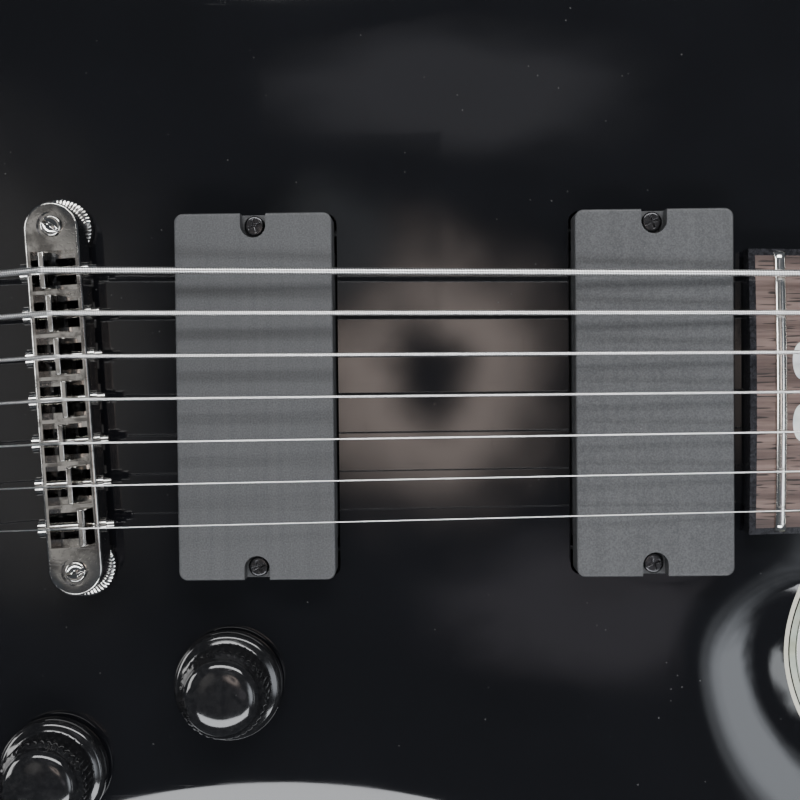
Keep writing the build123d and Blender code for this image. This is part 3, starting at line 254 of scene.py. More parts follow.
@dataclass
class Shell:
    """Points and faces of a mesh in the making, in bench millimetres."""

    points: list = field(default_factory=list)
    faces: list = field(default_factory=list)
    corners: list = field(default_factory=list)
    total: int = 0

    def add(self, points: Points, faces: np.ndarray, corners: Optional[np.ndarray] = None) -> None:
        """Add points with their faces, and a UV pair for each face corner."""
        self.points.append(np.asarray(points, float).reshape(-1, 3))
        self.faces.extend((np.asarray(faces) + self.total).tolist())
        if corners is None:
            corners = np.zeros((np.asarray(faces).size, 2))
        self.corners.append(np.asarray(corners, float).reshape(-1, 2))
        self.total += len(self.points[-1])

    def grid(self, points: Points, across: bool = True, along: bool = False,
             u: Optional[np.ndarray] = None, v: Optional[np.ndarray] = None) -> None:
        """Add a sheet of quads over rows and columns of points.

        Args:
            points: Array of (rows, columns, 3).
            across: Whether the last column joins the first.
            along: Whether the last row joins the first.
            u: The UV map's first number for each row.
            v: The UV map's second number for each column, with one more where it closes.
        """
        rows, columns = points.shape[:2]
        i = np.arange(rows if along else rows - 1)
        j = np.arange(columns if across else columns - 1)
        i, j = (part.ravel() for part in np.meshgrid(i, j, indexing="ij"))
        up, side = (i + 1) % rows, (j + 1) % columns
        faces = np.stack([i * columns + j, up * columns + j, up * columns + side, i * columns + side], axis=1)
        u = np.arange(rows + 1) / rows if u is None else u
        v = np.arange(columns + 1) / columns if v is None else v
        corners = np.stack([
            np.stack([u[i], u[i + 1], u[i + 1], u[i]], axis=1),
            np.stack([v[j], v[j], v[j + 1], v[j + 1]], axis=1),
        ], axis=-1)
        self.add(points, faces, corners)

    def fan(self, ring: Points) -> None:
        """Close a ring of points with triangles to its middle."""
        count = len(ring)
        index = np.arange(count)
        faces = np.stack([index, (index + 1) % count, np.full(count, count)], axis=1)
        self.add(np.vstack([ring, ring.mean(axis=0)]), faces)

    def patch(self, outer: Points, holes: Sequence[Points], spacing: float,
              height: Callable[[Points], np.ndarray]) -> None:
        """Add a sheet inside a loop and round its holes.

        Points of a triangular lattice fill the loop, a constrained triangulation joins them
        to the loops, and each point takes its height from a function of (x, y).
        """
        loops = [outer, *holes]
        low, high = outer.min(axis=0), outer.max(axis=0)
        x, y = np.meshgrid(np.arange(low[0], high[0], spacing), np.arange(low[1], high[1], spacing * 0.866))
        x = x + (np.arange(x.shape[0]) % 2)[:, None] * spacing / 2
        lattice = np.stack([x.ravel(), y.ravel()], axis=1)
        lattice = lattice[inside(lattice, outer)]
        for loop in loops:
            lattice = lattice[edge_distance(lattice, loop) > spacing * 0.45]
        for hole in holes:
            lattice = lattice[~inside(lattice, hole)]
        sizes = [len(loop) for loop in loops]
        starts = np.concatenate([[0], np.cumsum(sizes)[:-1]])
        edges = [(start + k, start + (k + 1) % size)
                 for start, size in zip(starts, sizes) for k in range(size)]
        flat = np.vstack([*loops, lattice])
        found = delaunay_2d_cdt(list(map(Vector, flat.tolist())), edges, [], 0, 1e-7)
        spots = np.array([tuple(spot) for spot in found[0]])
        triangles = np.array(found[2])
        centre = spots[triangles].mean(axis=1)
        keep = inside(centre, outer)
        for hole in holes:
            keep &= ~inside(centre, hole)
        self.add(np.column_stack([spots, height(spots)]), triangles[keep])

    def well(self, steps: Sequence[tuple[Points, float | np.ndarray]]) -> None:
        """Add a wall through loops at given heights, one after another."""
        rows = [np.column_stack([loop, np.broadcast_to(high, len(loop))]) for loop, high in steps]
        self.grid(np.stack(rows))

    def turning(self, profile: Points, matrix: np.ndarray, count: int = 64,
                ripple: Optional[Callable[[np.ndarray, np.ndarray], np.ndarray]] = None) -> None:
        """Add a turned shape: a profile of (radius, height) carried round the z axis.

        Args:
            profile: Radius and height in order, starting and ending on the axis.
            matrix: Where the shape stands.
            count: How many steps go round.
            ripple: Adds to the radius from the angle and the height, as ribs or knurling do.
        """
        angle = np.linspace(0, 2 * np.pi, count, endpoint=False)[None, :]
        radius, high = np.asarray(profile, float).T[:, :, None]
        if ripple is not None:
            radius = radius + ripple(angle, high) * (radius > 0)
        radius = radius + 0 * angle
        spots = np.stack([radius * np.cos(angle), radius * np.sin(angle), high + 0 * angle], axis=-1)
        self.grid(moved(spots, matrix))

    def tube(self, path: Points, radius: float, sides: int = 12) -> None:
        """Add a round wire along a path, closed at both ends; u is the length in metres."""
        step = np.linalg.norm(np.diff(path, axis=0), axis=1)
        length = np.concatenate([[0], np.cumsum(step)])
        way = np.gradient(path, axis=0)
        way /= np.linalg.norm(way, axis=1)[:, None]
        side = np.array([1.0, 0, 0]) - way * way[:, :1]
        side /= np.linalg.norm(side, axis=1)[:, None]
        lift = np.cross(side, way)
        angle = np.linspace(0, 2 * np.pi, sides, endpoint=False)[None, :, None]
        rings = path[:, None] + radius * (side[:, None] * np.cos(angle) + lift[:, None] * np.sin(angle))
        self.grid(rings, u=length * 0.001, v=np.linspace(0, 1, sides + 1))
        self.fan(rings[0])
        self.fan(rings[-1])

    def object(self, name: str, material: bpy.types.Material, crease: float = 32.0) -> bpy.types.Object:
        """Make the mesh an object: doubles merged, faces outward, smooth except at creases."""
        mesh = bpy.data.meshes.new(name)
        mesh.from_pydata(row(np.vstack(self.points)).tolist(), [], self.faces)
        layer = mesh.uv_layers.new(name="UVMap")
        layer.data.foreach_set("uv", np.vstack(self.corners).astype(np.float32).ravel())
        tidy_mesh(mesh)
        return finished(mesh, name, material, crease)


def tidy_mesh(mesh: bpy.types.Mesh) -> None:
    """Merge doubled points, drop faces with no area and turn every face outward."""
    work = bmesh.new()
    work.from_mesh(mesh)
    bmesh.ops.remove_doubles(work, verts=work.verts, dist=1e-6)
    bmesh.ops.dissolve_degenerate(work, edges=work.edges, dist=1e-7)
    bmesh.ops.recalc_face_normals(work, faces=work.faces)
    work.to_mesh(mesh)
    work.free()


def finished(
    mesh: bpy.types.Mesh, name: str, material: bpy.types.Material, crease: float
) -> bpy.types.Object:
    """An object at the origin with its material, smooth except at creases."""
    mesh.shade_smooth()
    mesh.set_sharp_from_angle(angle=math.radians(crease))
    mesh.materials.clear()
    mesh.materials.append(material)
    made = bpy.data.objects.new(name, mesh)
    bpy.context.scene.collection.objects.link(made)
    return made


def polished_copy(node: str, name: str, material: bpy.types.Material, edge: float, crease: float = 30.0,
                  segments: int = 2) -> bpy.types.Object:
    """A copy of a CAD node with its flat faces joined and its edges rounded over.

    Args:
        node: The CAD node.
        name: The new piece's name.
        material: Its finish.
        edge: Width of the rounding in millimetres.
        crease: The least angle between faces that is rounded, in degrees.
        segments: How many faces the rounding has across it.

    Returns:
        The new object.
    """
    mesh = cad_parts[node].data.copy()
    work = bmesh.new()
    work.from_mesh(mesh)
    bmesh.ops.remove_doubles(work, verts=work.verts, dist=2e-6)
    bmesh.ops.dissolve_limit(work, angle_limit=math.radians(0.5), verts=work.verts, edges=work.edges)
    bmesh.ops.recalc_face_normals(work, faces=work.faces)
    work.to_mesh(mesh)
    work.free()
    if "custom_normal" in mesh.attributes:
        mesh.attributes.remove(mesh.attributes["custom_normal"])
    made = finished(mesh, name, material, 40.0)
    bevel = made.modifiers.new("edges", "BEVEL")
    bevel.width = edge * 0.001
    bevel.segments = segments
    bevel.limit_method = "ANGLE"
    bevel.angle_limit = math.radians(crease)
    bevel.use_clamp_overlap = True
    bevel.harden_normals = False
    return made


def carved(made: bpy.types.Object, cutter: bpy.types.Object) -> None:
    """Cut one object out of another for good, and remove the cutter."""
    cut = made.modifiers.new("cut", "BOOLEAN")
    cut.operation = "DIFFERENCE"
    cut.solver = "EXACT"
    cut.object = cutter
    graph = bpy.context.evaluated_depsgraph_get()
    mesh = bpy.data.meshes.new_from_object(made.evaluated_get(graph))
    made.modifiers.clear()
    made.data = mesh
    bpy.data.objects.remove(cutter)


def box_shell(width: float, length: float, height: float, matrix: np.ndarray) -> Shell:
    """A closed box about a matrix's origin."""
    corners = np.array([(x, y, z) for x in (-0.5, 0.5) for y in (-0.5, 0.5) for z in (-0.5, 0.5)])
    faces = np.array([(0, 1, 3, 2), (4, 6, 7, 5), (0, 4, 5, 1), (2, 3, 7, 6), (0, 2, 6, 4), (1, 5, 7, 3)])
    shell = Shell()
    shell.add(moved(corners * (width, length, height), matrix), faces)
    return shell


def mount(made: bpy.types.Object, body: str, nodes: Iterable[str]) -> None:
    """Fix a piece to its body, in place of CAD nodes."""
    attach(made, body)
    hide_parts(*nodes)
    LOG.info("%s rides on %s", made.name, body)


# ---------------------------------------------------------------- finishes


class Recipe:
    """The node tree of one material or effect, with short calls to place and join nodes."""

    def __init__(self, tree: bpy.types.NodeTree) -> None:
        """Start from an empty tree."""
        self.tree = tree
        tree.nodes.clear()

    def node(self, kind: str, inputs: Optional[dict] = None, **settings: object) -> bpy.types.Node:
        """Place a node, set its properties, and set or join its inputs.

        Args:
            kind: Node type, without the ShaderNode at its front.
            inputs: Values or source sockets, by input name or index.
            settings: The node's own properties.

        Returns:
            The node.
        """
        made = self.tree.nodes.new("ShaderNode" + kind)
        for name, value in settings.items():
            setattr(made, name, value)
        for name, value in (inputs or {}).items():
            if isinstance(value, bpy.types.NodeSocket):
                self.tree.links.new(value, made.inputs[name])
            else:
                made.inputs[name].default_value = value
        return made

    def math(self, operation: str, a: object, b: object = 0.0) -> bpy.types.NodeSocket:
        """The result of a sum on two numbers or sockets."""
        return self.node("Math", {0: a, 1: b}, operation=operation).outputs[0]

    def span(self, value: object, low: float, high: float, to_low: float,
             to_high: float) -> bpy.types.NodeSocket:
        """A value taken from one range into another, held at its ends."""
        found = {"Value": value, "From Min": low, "From Max": high, "To Min": to_low, "To Max": to_high}
        return self.node("MapRange", found, interpolation_type="SMOOTHSTEP").outputs["Result"]

    def blend(self, share: object, first: object, second: object) -> bpy.types.NodeSocket:
        """A mix of two colours."""
        made = self.node("Mix", {"Factor": share}, data_type="RGBA")
        for socket, value in ((made.inputs[6], first), (made.inputs[7], second)):
            if isinstance(value, bpy.types.NodeSocket):
                self.tree.links.new(value, socket)
            else:
                socket.default_value = (*value, 1.0)
        return made.outputs[2]

    def stretched(self, source: bpy.types.NodeSocket,
                  scale: tuple[float, float, float]) -> bpy.types.NodeSocket:
        """A position scaled along each axis."""
        return self.node("Mapping", {"Vector": source, "Scale": scale}).outputs["Vector"]

    def noise(self, source: bpy.types.NodeSocket, scale: object, detail: float = 3.0) -> bpy.types.NodeSocket:
        """Soft noise between 0 and 1."""
        return self.node("TexNoise", {"Vector": source, "Scale": scale, "Detail": detail}).outputs["Fac"]


class Effect(Enum):
    """The shared effects, each one node group."""

    HANDLING = "handling marks"
    STREAKS = "streaks"


def build_group(name: str, inputs: dict[str, Optional[float]], outputs: Sequence[str]) -> tuple:
    """A node group with a Position input, number inputs and number outputs.

    Args:
        name: The group's name.
        inputs: Number inputs with their values.
        outputs: Names of the number outputs.

    Returns:
        The group, its recipe, its input node and its output node.
    """
    group = bpy.data.node_groups.new(name, "ShaderNodeTree")
    group.interface.new_socket("Position", in_out="INPUT", socket_type="NodeSocketVector")
    for label, value in inputs.items():
        group.interface.new_socket(label, in_out="INPUT", socket_type="NodeSocketFloat").default_value = value
    for label in outputs:
        group.interface.new_socket(label, in_out="OUTPUT", socket_type="NodeSocketFloat")
    recipe = Recipe(group)
    return group, recipe, group.nodes.new("NodeGroupInput"), group.nodes.new("NodeGroupOutput")


def handling_group() -> bpy.types.NodeTree:
    """Marks of use: cloudy smears, hairline scratches and specks of dust.

    Smears are broad noise. Scratches are noise stretched forty to one and cut high, so that
    only thin crests stay. Dust is the middle of small cells that a second noise picks out.
    """
    group, recipe, start, end = build_group(
        Effect.HANDLING.value, {"Scale": 1.0, "Scratches": 0.5, "Dust": 0.3}, ("Haze", "Marks", "Dust"))
    place = start.outputs["Position"]
    smear = recipe.noise(place, recipe.math("MULTIPLY", start.outputs["Scale"], 22.0), 4.0)
    fine = recipe.noise(recipe.stretched(place, (1.0, 1.0, 0.025)), 2600.0, 1.0)
    cross = recipe.noise(recipe.stretched(place, (0.03, 1.0, 1.0)), 2100.0, 1.0)
    lines = recipe.math("MAXIMUM", recipe.span(fine, 0.70, 0.78, 0, 1), recipe.span(cross, 0.71, 0.79, 0, 1))
    lines = recipe.math("MULTIPLY", lines, start.outputs["Scratches"])
    cells = recipe.node("TexVoronoi", {"Vector": place, "Scale": 420.0})
    speck = recipe.span(cells.outputs["Distance"], 0.05, 0.11, 1, 0)
    speck = recipe.math("MULTIPLY", speck, recipe.span(recipe.noise(place, 90.0, 2.0), 0.56, 0.66, 0, 1))
    speck = recipe.math("MULTIPLY", speck, start.outputs["Dust"])
    for label, value in (("Haze", smear), ("Marks", lines), ("Dust", speck)):
        group.links.new(value, end.inputs[label])
    return group


def streaks_group() -> bpy.types.NodeTree:
    """Streaks along the neck: noise drawn out along one axis, broad and fine, with open pores."""
    group, recipe, start, end = build_group(Effect.STREAKS.value, {"Scale": 1.0}, ("Broad", "Fine", "Pores"))
    place = start.outputs["Position"]
    scale = start.outputs["Scale"]
    broad = recipe.noise(recipe.stretched(place, (1, 1, 0.05)), recipe.math("MULTIPLY", scale, 330.0), 5.0)
    fine = recipe.noise(recipe.stretched(place, (1, 1, 0.02)), recipe.math("MULTIPLY", scale, 1500.0), 3.0)
    pores = recipe.noise(recipe.stretched(place, (1, 1, 0.06)), recipe.math("MULTIPLY", scale, 2300.0), 0.0)
    for label, value in (("Broad", broad), ("Fine", fine), ("Pores", recipe.span(pores, 0.62, 0.70, 0, 1))):
        group.links.new(value, end.inputs[label])
    return group


GROUPS = {Effect.HANDLING: handling_group(), Effect.STREAKS: streaks_group()}


@dataclass(frozen=True)
class Finish:
    """A finish, made into a material by a recipe with a Principled surface."""

    name: str

    def start(self, metallic: float, coat: float = 0.0) -> tuple[bpy.types.Material, Recipe, bpy.types.Node]:
        """The empty material, its recipe and its surface node."""
        material = bpy.data.materials.new(self.name)
        material.use_nodes = True
        recipe = Recipe(material.node_tree)
        found = {"Metallic": metallic, "Coat Weight": coat, "Coat Roughness": 0.03}
        surface = recipe.node("BsdfPrincipled", found)
        recipe.node("OutputMaterial", {"Surface": surface.outputs[0]})
        return material, recipe, surface

    def effect(self, recipe: Recipe, which: Effect, **values: float) -> bpy.types.Node:
        """Place a shared effect, fed with the object's own position."""
        made = recipe.node("Group", node_tree=GROUPS[which])
        place = recipe.node("TexCoord").outputs["Object"]
        recipe.tree.links.new(place, made.inputs["Position"])
        for label, value in values.items():
            made.inputs[label].default_value = value
        return made

    def relief(self, recipe: Recipe, surface: bpy.types.Node, height: object, strength: float,
               depth: float) -> None:
        """Join a height to the surface as bump, with its depth in millimetres."""
        found = {"Height": height, "Strength": strength, "Distance": depth * 0.001}
        bump = recipe.node("Bump", found)
        recipe.tree.links.new(bump.outputs["Normal"], surface.inputs["Normal"])


@dataclass(frozen=True)
class GlossLacquer(Finish):
    """Deep polished lacquer with polishing haze, hairlines and a little dust."""

    colour: tuple[float, float, float] = (0.0035, 0.0036, 0.0045)
    rough: float = 0.035

    def make(self) -> bpy.types.Material:
        """Build the material."""
        material, recipe, surface = self.start(0.0, 0.35)
        marks = self.effect(recipe, Effect.HANDLING, Scale=1.0, Scratches=0.5, Dust=0.5)
        tint = recipe.blend(marks.outputs["Haze"], self.colour, tuple(2.0 * c for c in self.colour))
        tint = recipe.blend(recipe.math("MULTIPLY", marks.outputs["Dust"], 0.25), tint, (0.30, 0.30, 0.29))
        recipe.tree.links.new(tint, surface.inputs["Base Color"])
        rough = recipe.span(marks.outputs["Haze"], 0.3, 0.75, self.rough, self.rough + 0.05)
        rough = recipe.math("ADD", rough, recipe.math("MULTIPLY", marks.outputs["Marks"], 0.16))
        recipe.tree.links.new(recipe.math("ADD", rough, marks.outputs["Dust"]), surface.inputs["Roughness"])
        surface.inputs["IOR"].default_value = 1.5
        place = recipe.node("TexCoord").outputs["Object"]
        self.relief(recipe, surface, recipe.noise(place, 55.0, 1.0), 0.25, 0.05)
        return material


@dataclass(frozen=True)
class Moulded(Finish):
    """Moulded plastic: a fine cast texture, faint rubbing lines and shine that varies."""

    colour: tuple[float, float, float]
    light: tuple[float, float, float]
    rough: float
    grain: float = 2600.0
    depth: float = 0.03
    coat: float = 0.0

    def make(self) -> bpy.types.Material:
        """Build the material."""
        material, recipe, surface = self.start(0.0, self.coat)
        marks = self.effect(recipe, Effect.HANDLING, Scale=1.6, Scratches=0.6, Dust=0.5)
        place = recipe.node("TexCoord").outputs["Object"]
        cast = recipe.noise(place, self.grain, 2.0)
        rub = recipe.noise(recipe.stretched(place, (0.05, 1.0, 1.0)), 500.0, 3.0)
        share = recipe.span(recipe.math("ADD", cast, recipe.math("MULTIPLY", rub, 0.25)), 0.35, 0.90, 0, 1)
        tint = recipe.blend(share, self.colour, self.light)
        tint = recipe.blend(recipe.math("MULTIPLY", marks.outputs["Dust"], 0.3), tint, (0.4, 0.4, 0.4))
        recipe.tree.links.new(tint, surface.inputs["Base Color"])
        rough = recipe.span(marks.outputs["Haze"], 0.3, 0.7, self.rough * 0.9, self.rough * 1.12)
        recipe.tree.links.new(rough, surface.inputs["Roughness"])
        self.relief(recipe, surface, recipe.math("SUBTRACT", cast, marks.outputs["Marks"]), 0.5, self.depth)
        return material


@dataclass(frozen=True)
class Plated(Finish):
    """Plated or bare metal with dulled patches, hairlines and small pits."""

    colour: tuple[float, float, float]
    dull: tuple[float, float, float]
    rough: float
    wear: float = 0.5

    def make(self) -> bpy.types.Material:
        """Build the material."""
        material, recipe, surface = self.start(1.0)
        marks = self.effect(recipe, Effect.HANDLING, Scale=6.0, Scratches=self.wear, Dust=0.4)
        place = recipe.node("TexCoord").outputs["Object"]
        patch = recipe.span(recipe.noise(place, 260.0, 4.0), 0.42, 0.70, 0, self.wear)
        tint = recipe.blend(patch, self.colour, self.dull)
        recipe.tree.links.new(tint, surface.inputs["Base Color"])
        rough = recipe.math("ADD", recipe.math("MULTIPLY", patch, 0.16), self.rough)
        rough = recipe.math("ADD", rough, recipe.math("MULTIPLY", marks.outputs["Marks"], 0.2))
        recipe.tree.links.new(rough, surface.inputs["Roughness"])
        pits = recipe.span(recipe.noise(place, 1500.0, 2.0), 0.3, 0.45, 0, 1)
        self.relief(recipe, surface, recipe.math("SUBTRACT", pits, marks.outputs["Marks"]), 0.25, 0.02)
        return material


@dataclass(frozen=True)
class Wound(Finish):
    """Wrap wire round a core: ridges across the UV map's length, with painted shade darkening the grooves
    between turns so the crests stay bright.
    """

    pitch: float
    colour: tuple[float, float, float] = (0.93, 0.92, 0.91)
    rough: float = 0.30

    def make(self) -> bpy.types.Material:
        """Build the material."""
        material, recipe, surface = self.start(1.0)
        marks = self.effect(recipe, Effect.HANDLING, Scale=8.0, Scratches=0.3, Dust=0.0)
        uv = recipe.node("SeparateXYZ", {0: recipe.node("TexCoord").outputs["UV"]})
        turns = recipe.math("ADD", recipe.math("MULTIPLY", uv.outputs[0], 1000 / self.pitch), uv.outputs[1])
        wave = recipe.math("SINE", recipe.math("MULTIPLY", turns, 2 * math.pi))
        crest_height_and_groove_shade = recipe.span(wave, -1.0, 0.4, 0, 1)
        # Painted shade: the base colour darkens to 0.72 of itself in the grooves between turns; the same mask
        # raises the crests as bump.
        tint = recipe.blend(crest_height_and_groove_shade, tuple(0.72 * c for c in self.colour), self.colour)
        recipe.tree.links.new(tint, surface.inputs["Base Color"])
        rough = recipe.span(marks.outputs["Haze"], 0.3, 0.7, self.rough, self.rough + 0.14)
        recipe.tree.links.new(rough, surface.inputs["Roughness"])
        self.relief(recipe, surface, crest_height_and_groove_shade, 0.4, 0.10 * self.pitch)
        return material


@dataclass(frozen=True)
class Rosewood(Finish):
    """Oiled rosewood: brown-grey with dark streaks and open pores along the neck."""

    def make(self) -> bpy.types.Material:
        """Build the material."""
        material, recipe, surface = self.start(0.0)
        grain = self.effect(recipe, Effect.STREAKS, Scale=1.0)
        base = recipe.blend(recipe.span(grain.outputs["Broad"], 0.32, 0.68, 0, 1), (0.060, 0.038, 0.034),
                            (0.215, 0.150, 0.132))
        fine = recipe.span(grain.outputs["Fine"], 0.40, 0.66, 0, 0.65)
        base = recipe.blend(fine, base, (0.115, 0.075, 0.066))
        base = recipe.blend(grain.outputs["Pores"], base, (0.022, 0.014, 0.012))
        recipe.tree.links.new(base, surface.inputs["Base Color"])
        rough = recipe.span(grain.outputs["Fine"], 0.3, 0.7, 0.42, 0.62)
        recipe.tree.links.new(rough, surface.inputs["Roughness"])
        height = recipe.math("SUBTRACT", grain.outputs["Fine"], grain.outputs["Pores"])
        self.relief(recipe, surface, height, 0.5, 0.06)
        return material


@dataclass(frozen=True)
class Pearl(Finish):
    """Shell: pale, banded by its growth, with patches of blue and green."""

    scale: float = 160.0

    def make(self) -> bpy.types.Material:
        """Build the material."""
        material, recipe, surface = self.start(0.0, 0.6)
        place = recipe.node("TexCoord").outputs["Object"]
        swirl = recipe.noise(place, self.scale, 4.0)
        cells = recipe.node("TexVoronoi", {"Vector": place, "Scale": self.scale * 1.4}, feature="SMOOTH_F1")
        tint = recipe.blend(recipe.span(swirl, 0.35, 0.65, 0, 1), (0.62, 0.66, 0.76), (0.88, 0.86, 0.84))
        patch = recipe.span(cells.outputs["Distance"], 0.2, 0.6, 0, 0.5)
        tint = recipe.blend(patch, tint, (0.62, 0.74, 0.70))
        recipe.tree.links.new(tint, surface.inputs["Base Color"])
        recipe.tree.links.new(recipe.span(swirl, 0.3, 0.7, 0.10, 0.3), surface.inputs["Roughness"])
        self.relief(recipe, surface, cells.outputs["Distance"], 0.2, 0.05)
        return material


@dataclass(frozen=True)
class EdgeStrip(Finish):
    """Laid edge strip: bands across the UV map, cream line, black line, pearl, cream rim."""

    def make(self) -> bpy.types.Material:
        """Build the material."""
        material, recipe, surface = self.start(0.0, 0.8)
        place = recipe.node("TexCoord")
        uv = recipe.node("SeparateXYZ", {0: place.outputs["UV"]})
        across = uv.outputs[1]
        swirl = recipe.noise(place.outputs["Object"], 130.0, 5.0)
        shell = recipe.node("TexVoronoi", {"Vector": place.outputs["Object"], "Scale": 210.0})
        pearl = recipe.blend(recipe.span(swirl, 0.35, 0.65, 0, 1), (0.42, 0.46, 0.36), (0.70, 0.71, 0.58))
        patch = recipe.span(shell.outputs["Distance"], 0.3, 0.7, 0, 0.5)
        pearl = recipe.blend(patch, pearl, (0.52, 0.60, 0.55))
        cream = recipe.blend(swirl, (0.66, 0.65, 0.54), (0.78, 0.77, 0.66))
        tint = recipe.blend(recipe.span(across, 0.395, 0.405, 0, 1), cream, pearl)
        for low, high, black in ((0.29, 0.40, (0.008, 0.008, 0.009)), (0.80, 0.87, (0.01, 0.01, 0.011))):
            rise = recipe.span(across, low, low + 0.01, 0, 1)
            line = recipe.math("MULTIPLY", rise, recipe.span(across, high - 0.01, high, 1, 0))
            tint = recipe.blend(line, tint, black)
        recipe.tree.links.new(tint, surface.inputs["Base Color"])
        recipe.tree.links.new(recipe.span(swirl, 0.3, 0.7, 0.08, 0.2), surface.inputs["Roughness"])
        self.relief(recipe, surface, swirl, 0.2, 0.03)
        return material


class Finishes:
    """Every finish of the guitar, made once."""

    def __init__(self) -> None:
        """Make each material."""
        self.lacquer = GlossLacquer("body_lacquer").make()
        self.neck_lacquer = GlossLacquer("neck_lacquer", rough=0.06).make()
        self.strip = EdgeStrip("edge_strip").make()
        self.rosewood = Rosewood("rosewood").make()
        self.pearl = Pearl("shell_pearl").make()
        self.satin = Moulded("satin_plastic", (0.060, 0.062, 0.066), (0.105, 0.108, 0.114), 0.40,
                             depth=0.04).make()
        self.black_plastic = Moulded("black_plastic", (0.006, 0.006, 0.007), (0.014, 0.014, 0.015), 0.12,
                                     900.0, 0.01, 0.5).make()
        self.board_edge = Moulded("board_edge", (0.010, 0.010, 0.012), (0.03, 0.03, 0.035), 0.15,
                                  1200.0, 0.015, 0.5).make()
        self.graphite = Moulded("graphite", (0.02, 0.02, 0.021), (0.045, 0.045, 0.046), 0.36,
                                3000.0, 0.04).make()
        self.coil = Moulded("potted_coil", (0.05, 0.018, 0.01), (0.16, 0.07, 0.03), 0.5, 3500.0, 0.08).make()
        self.case = Moulded("battery_case", (0.02, 0.02, 0.025), (0.05, 0.05, 0.06), 0.35,
                            1200.0, 0.03).make()
        self.jacket = Moulded("wire_jacket", (0.02, 0.02, 0.02), (0.06, 0.06, 0.06), 0.4, 2000.0, 0.04).make()
        self.nickel = Plated("nickel", (0.60, 0.59, 0.57), (0.22, 0.21, 0.20), 0.08, 0.8).make()
        self.dark_nickel = Plated("dark_nickel", (0.30, 0.30, 0.31), (0.15, 0.15, 0.155), 0.12).make()
        self.fret_metal = Plated("fret_metal", (0.86, 0.84, 0.80), (0.60, 0.57, 0.53), 0.14, 0.35).make()
        self.steel = Plated("zinc_steel", (0.55, 0.55, 0.56), (0.33, 0.33, 0.34), 0.26).make()
        self.dark_screw = Plated("dark_screw", (0.11, 0.11, 0.115), (0.05, 0.05, 0.052), 0.22).make()
        self.plain = Plated("plain_wire", (0.94, 0.93, 0.92), (0.80, 0.79, 0.77), 0.28, 0.25).make()
        pitches = (0.62, 0.50, 0.38, 0.30)
        self.wound = [Wound(f"wound_wire_{k + 1}", pitch).make() for k, pitch in enumerate(pitches)]


# ---------------------------------------------------------------- sub-assemblies


def dress(nodes: Iterable[str], material: bpy.types.Material) -> None:
    """Give CAD nodes that keep their own shape their finish."""
    for node in nodes:
        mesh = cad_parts[node].data
        mesh.materials.clear()
        mesh.materials.append(material)
        LOG.info("%s keeps its shape", node)


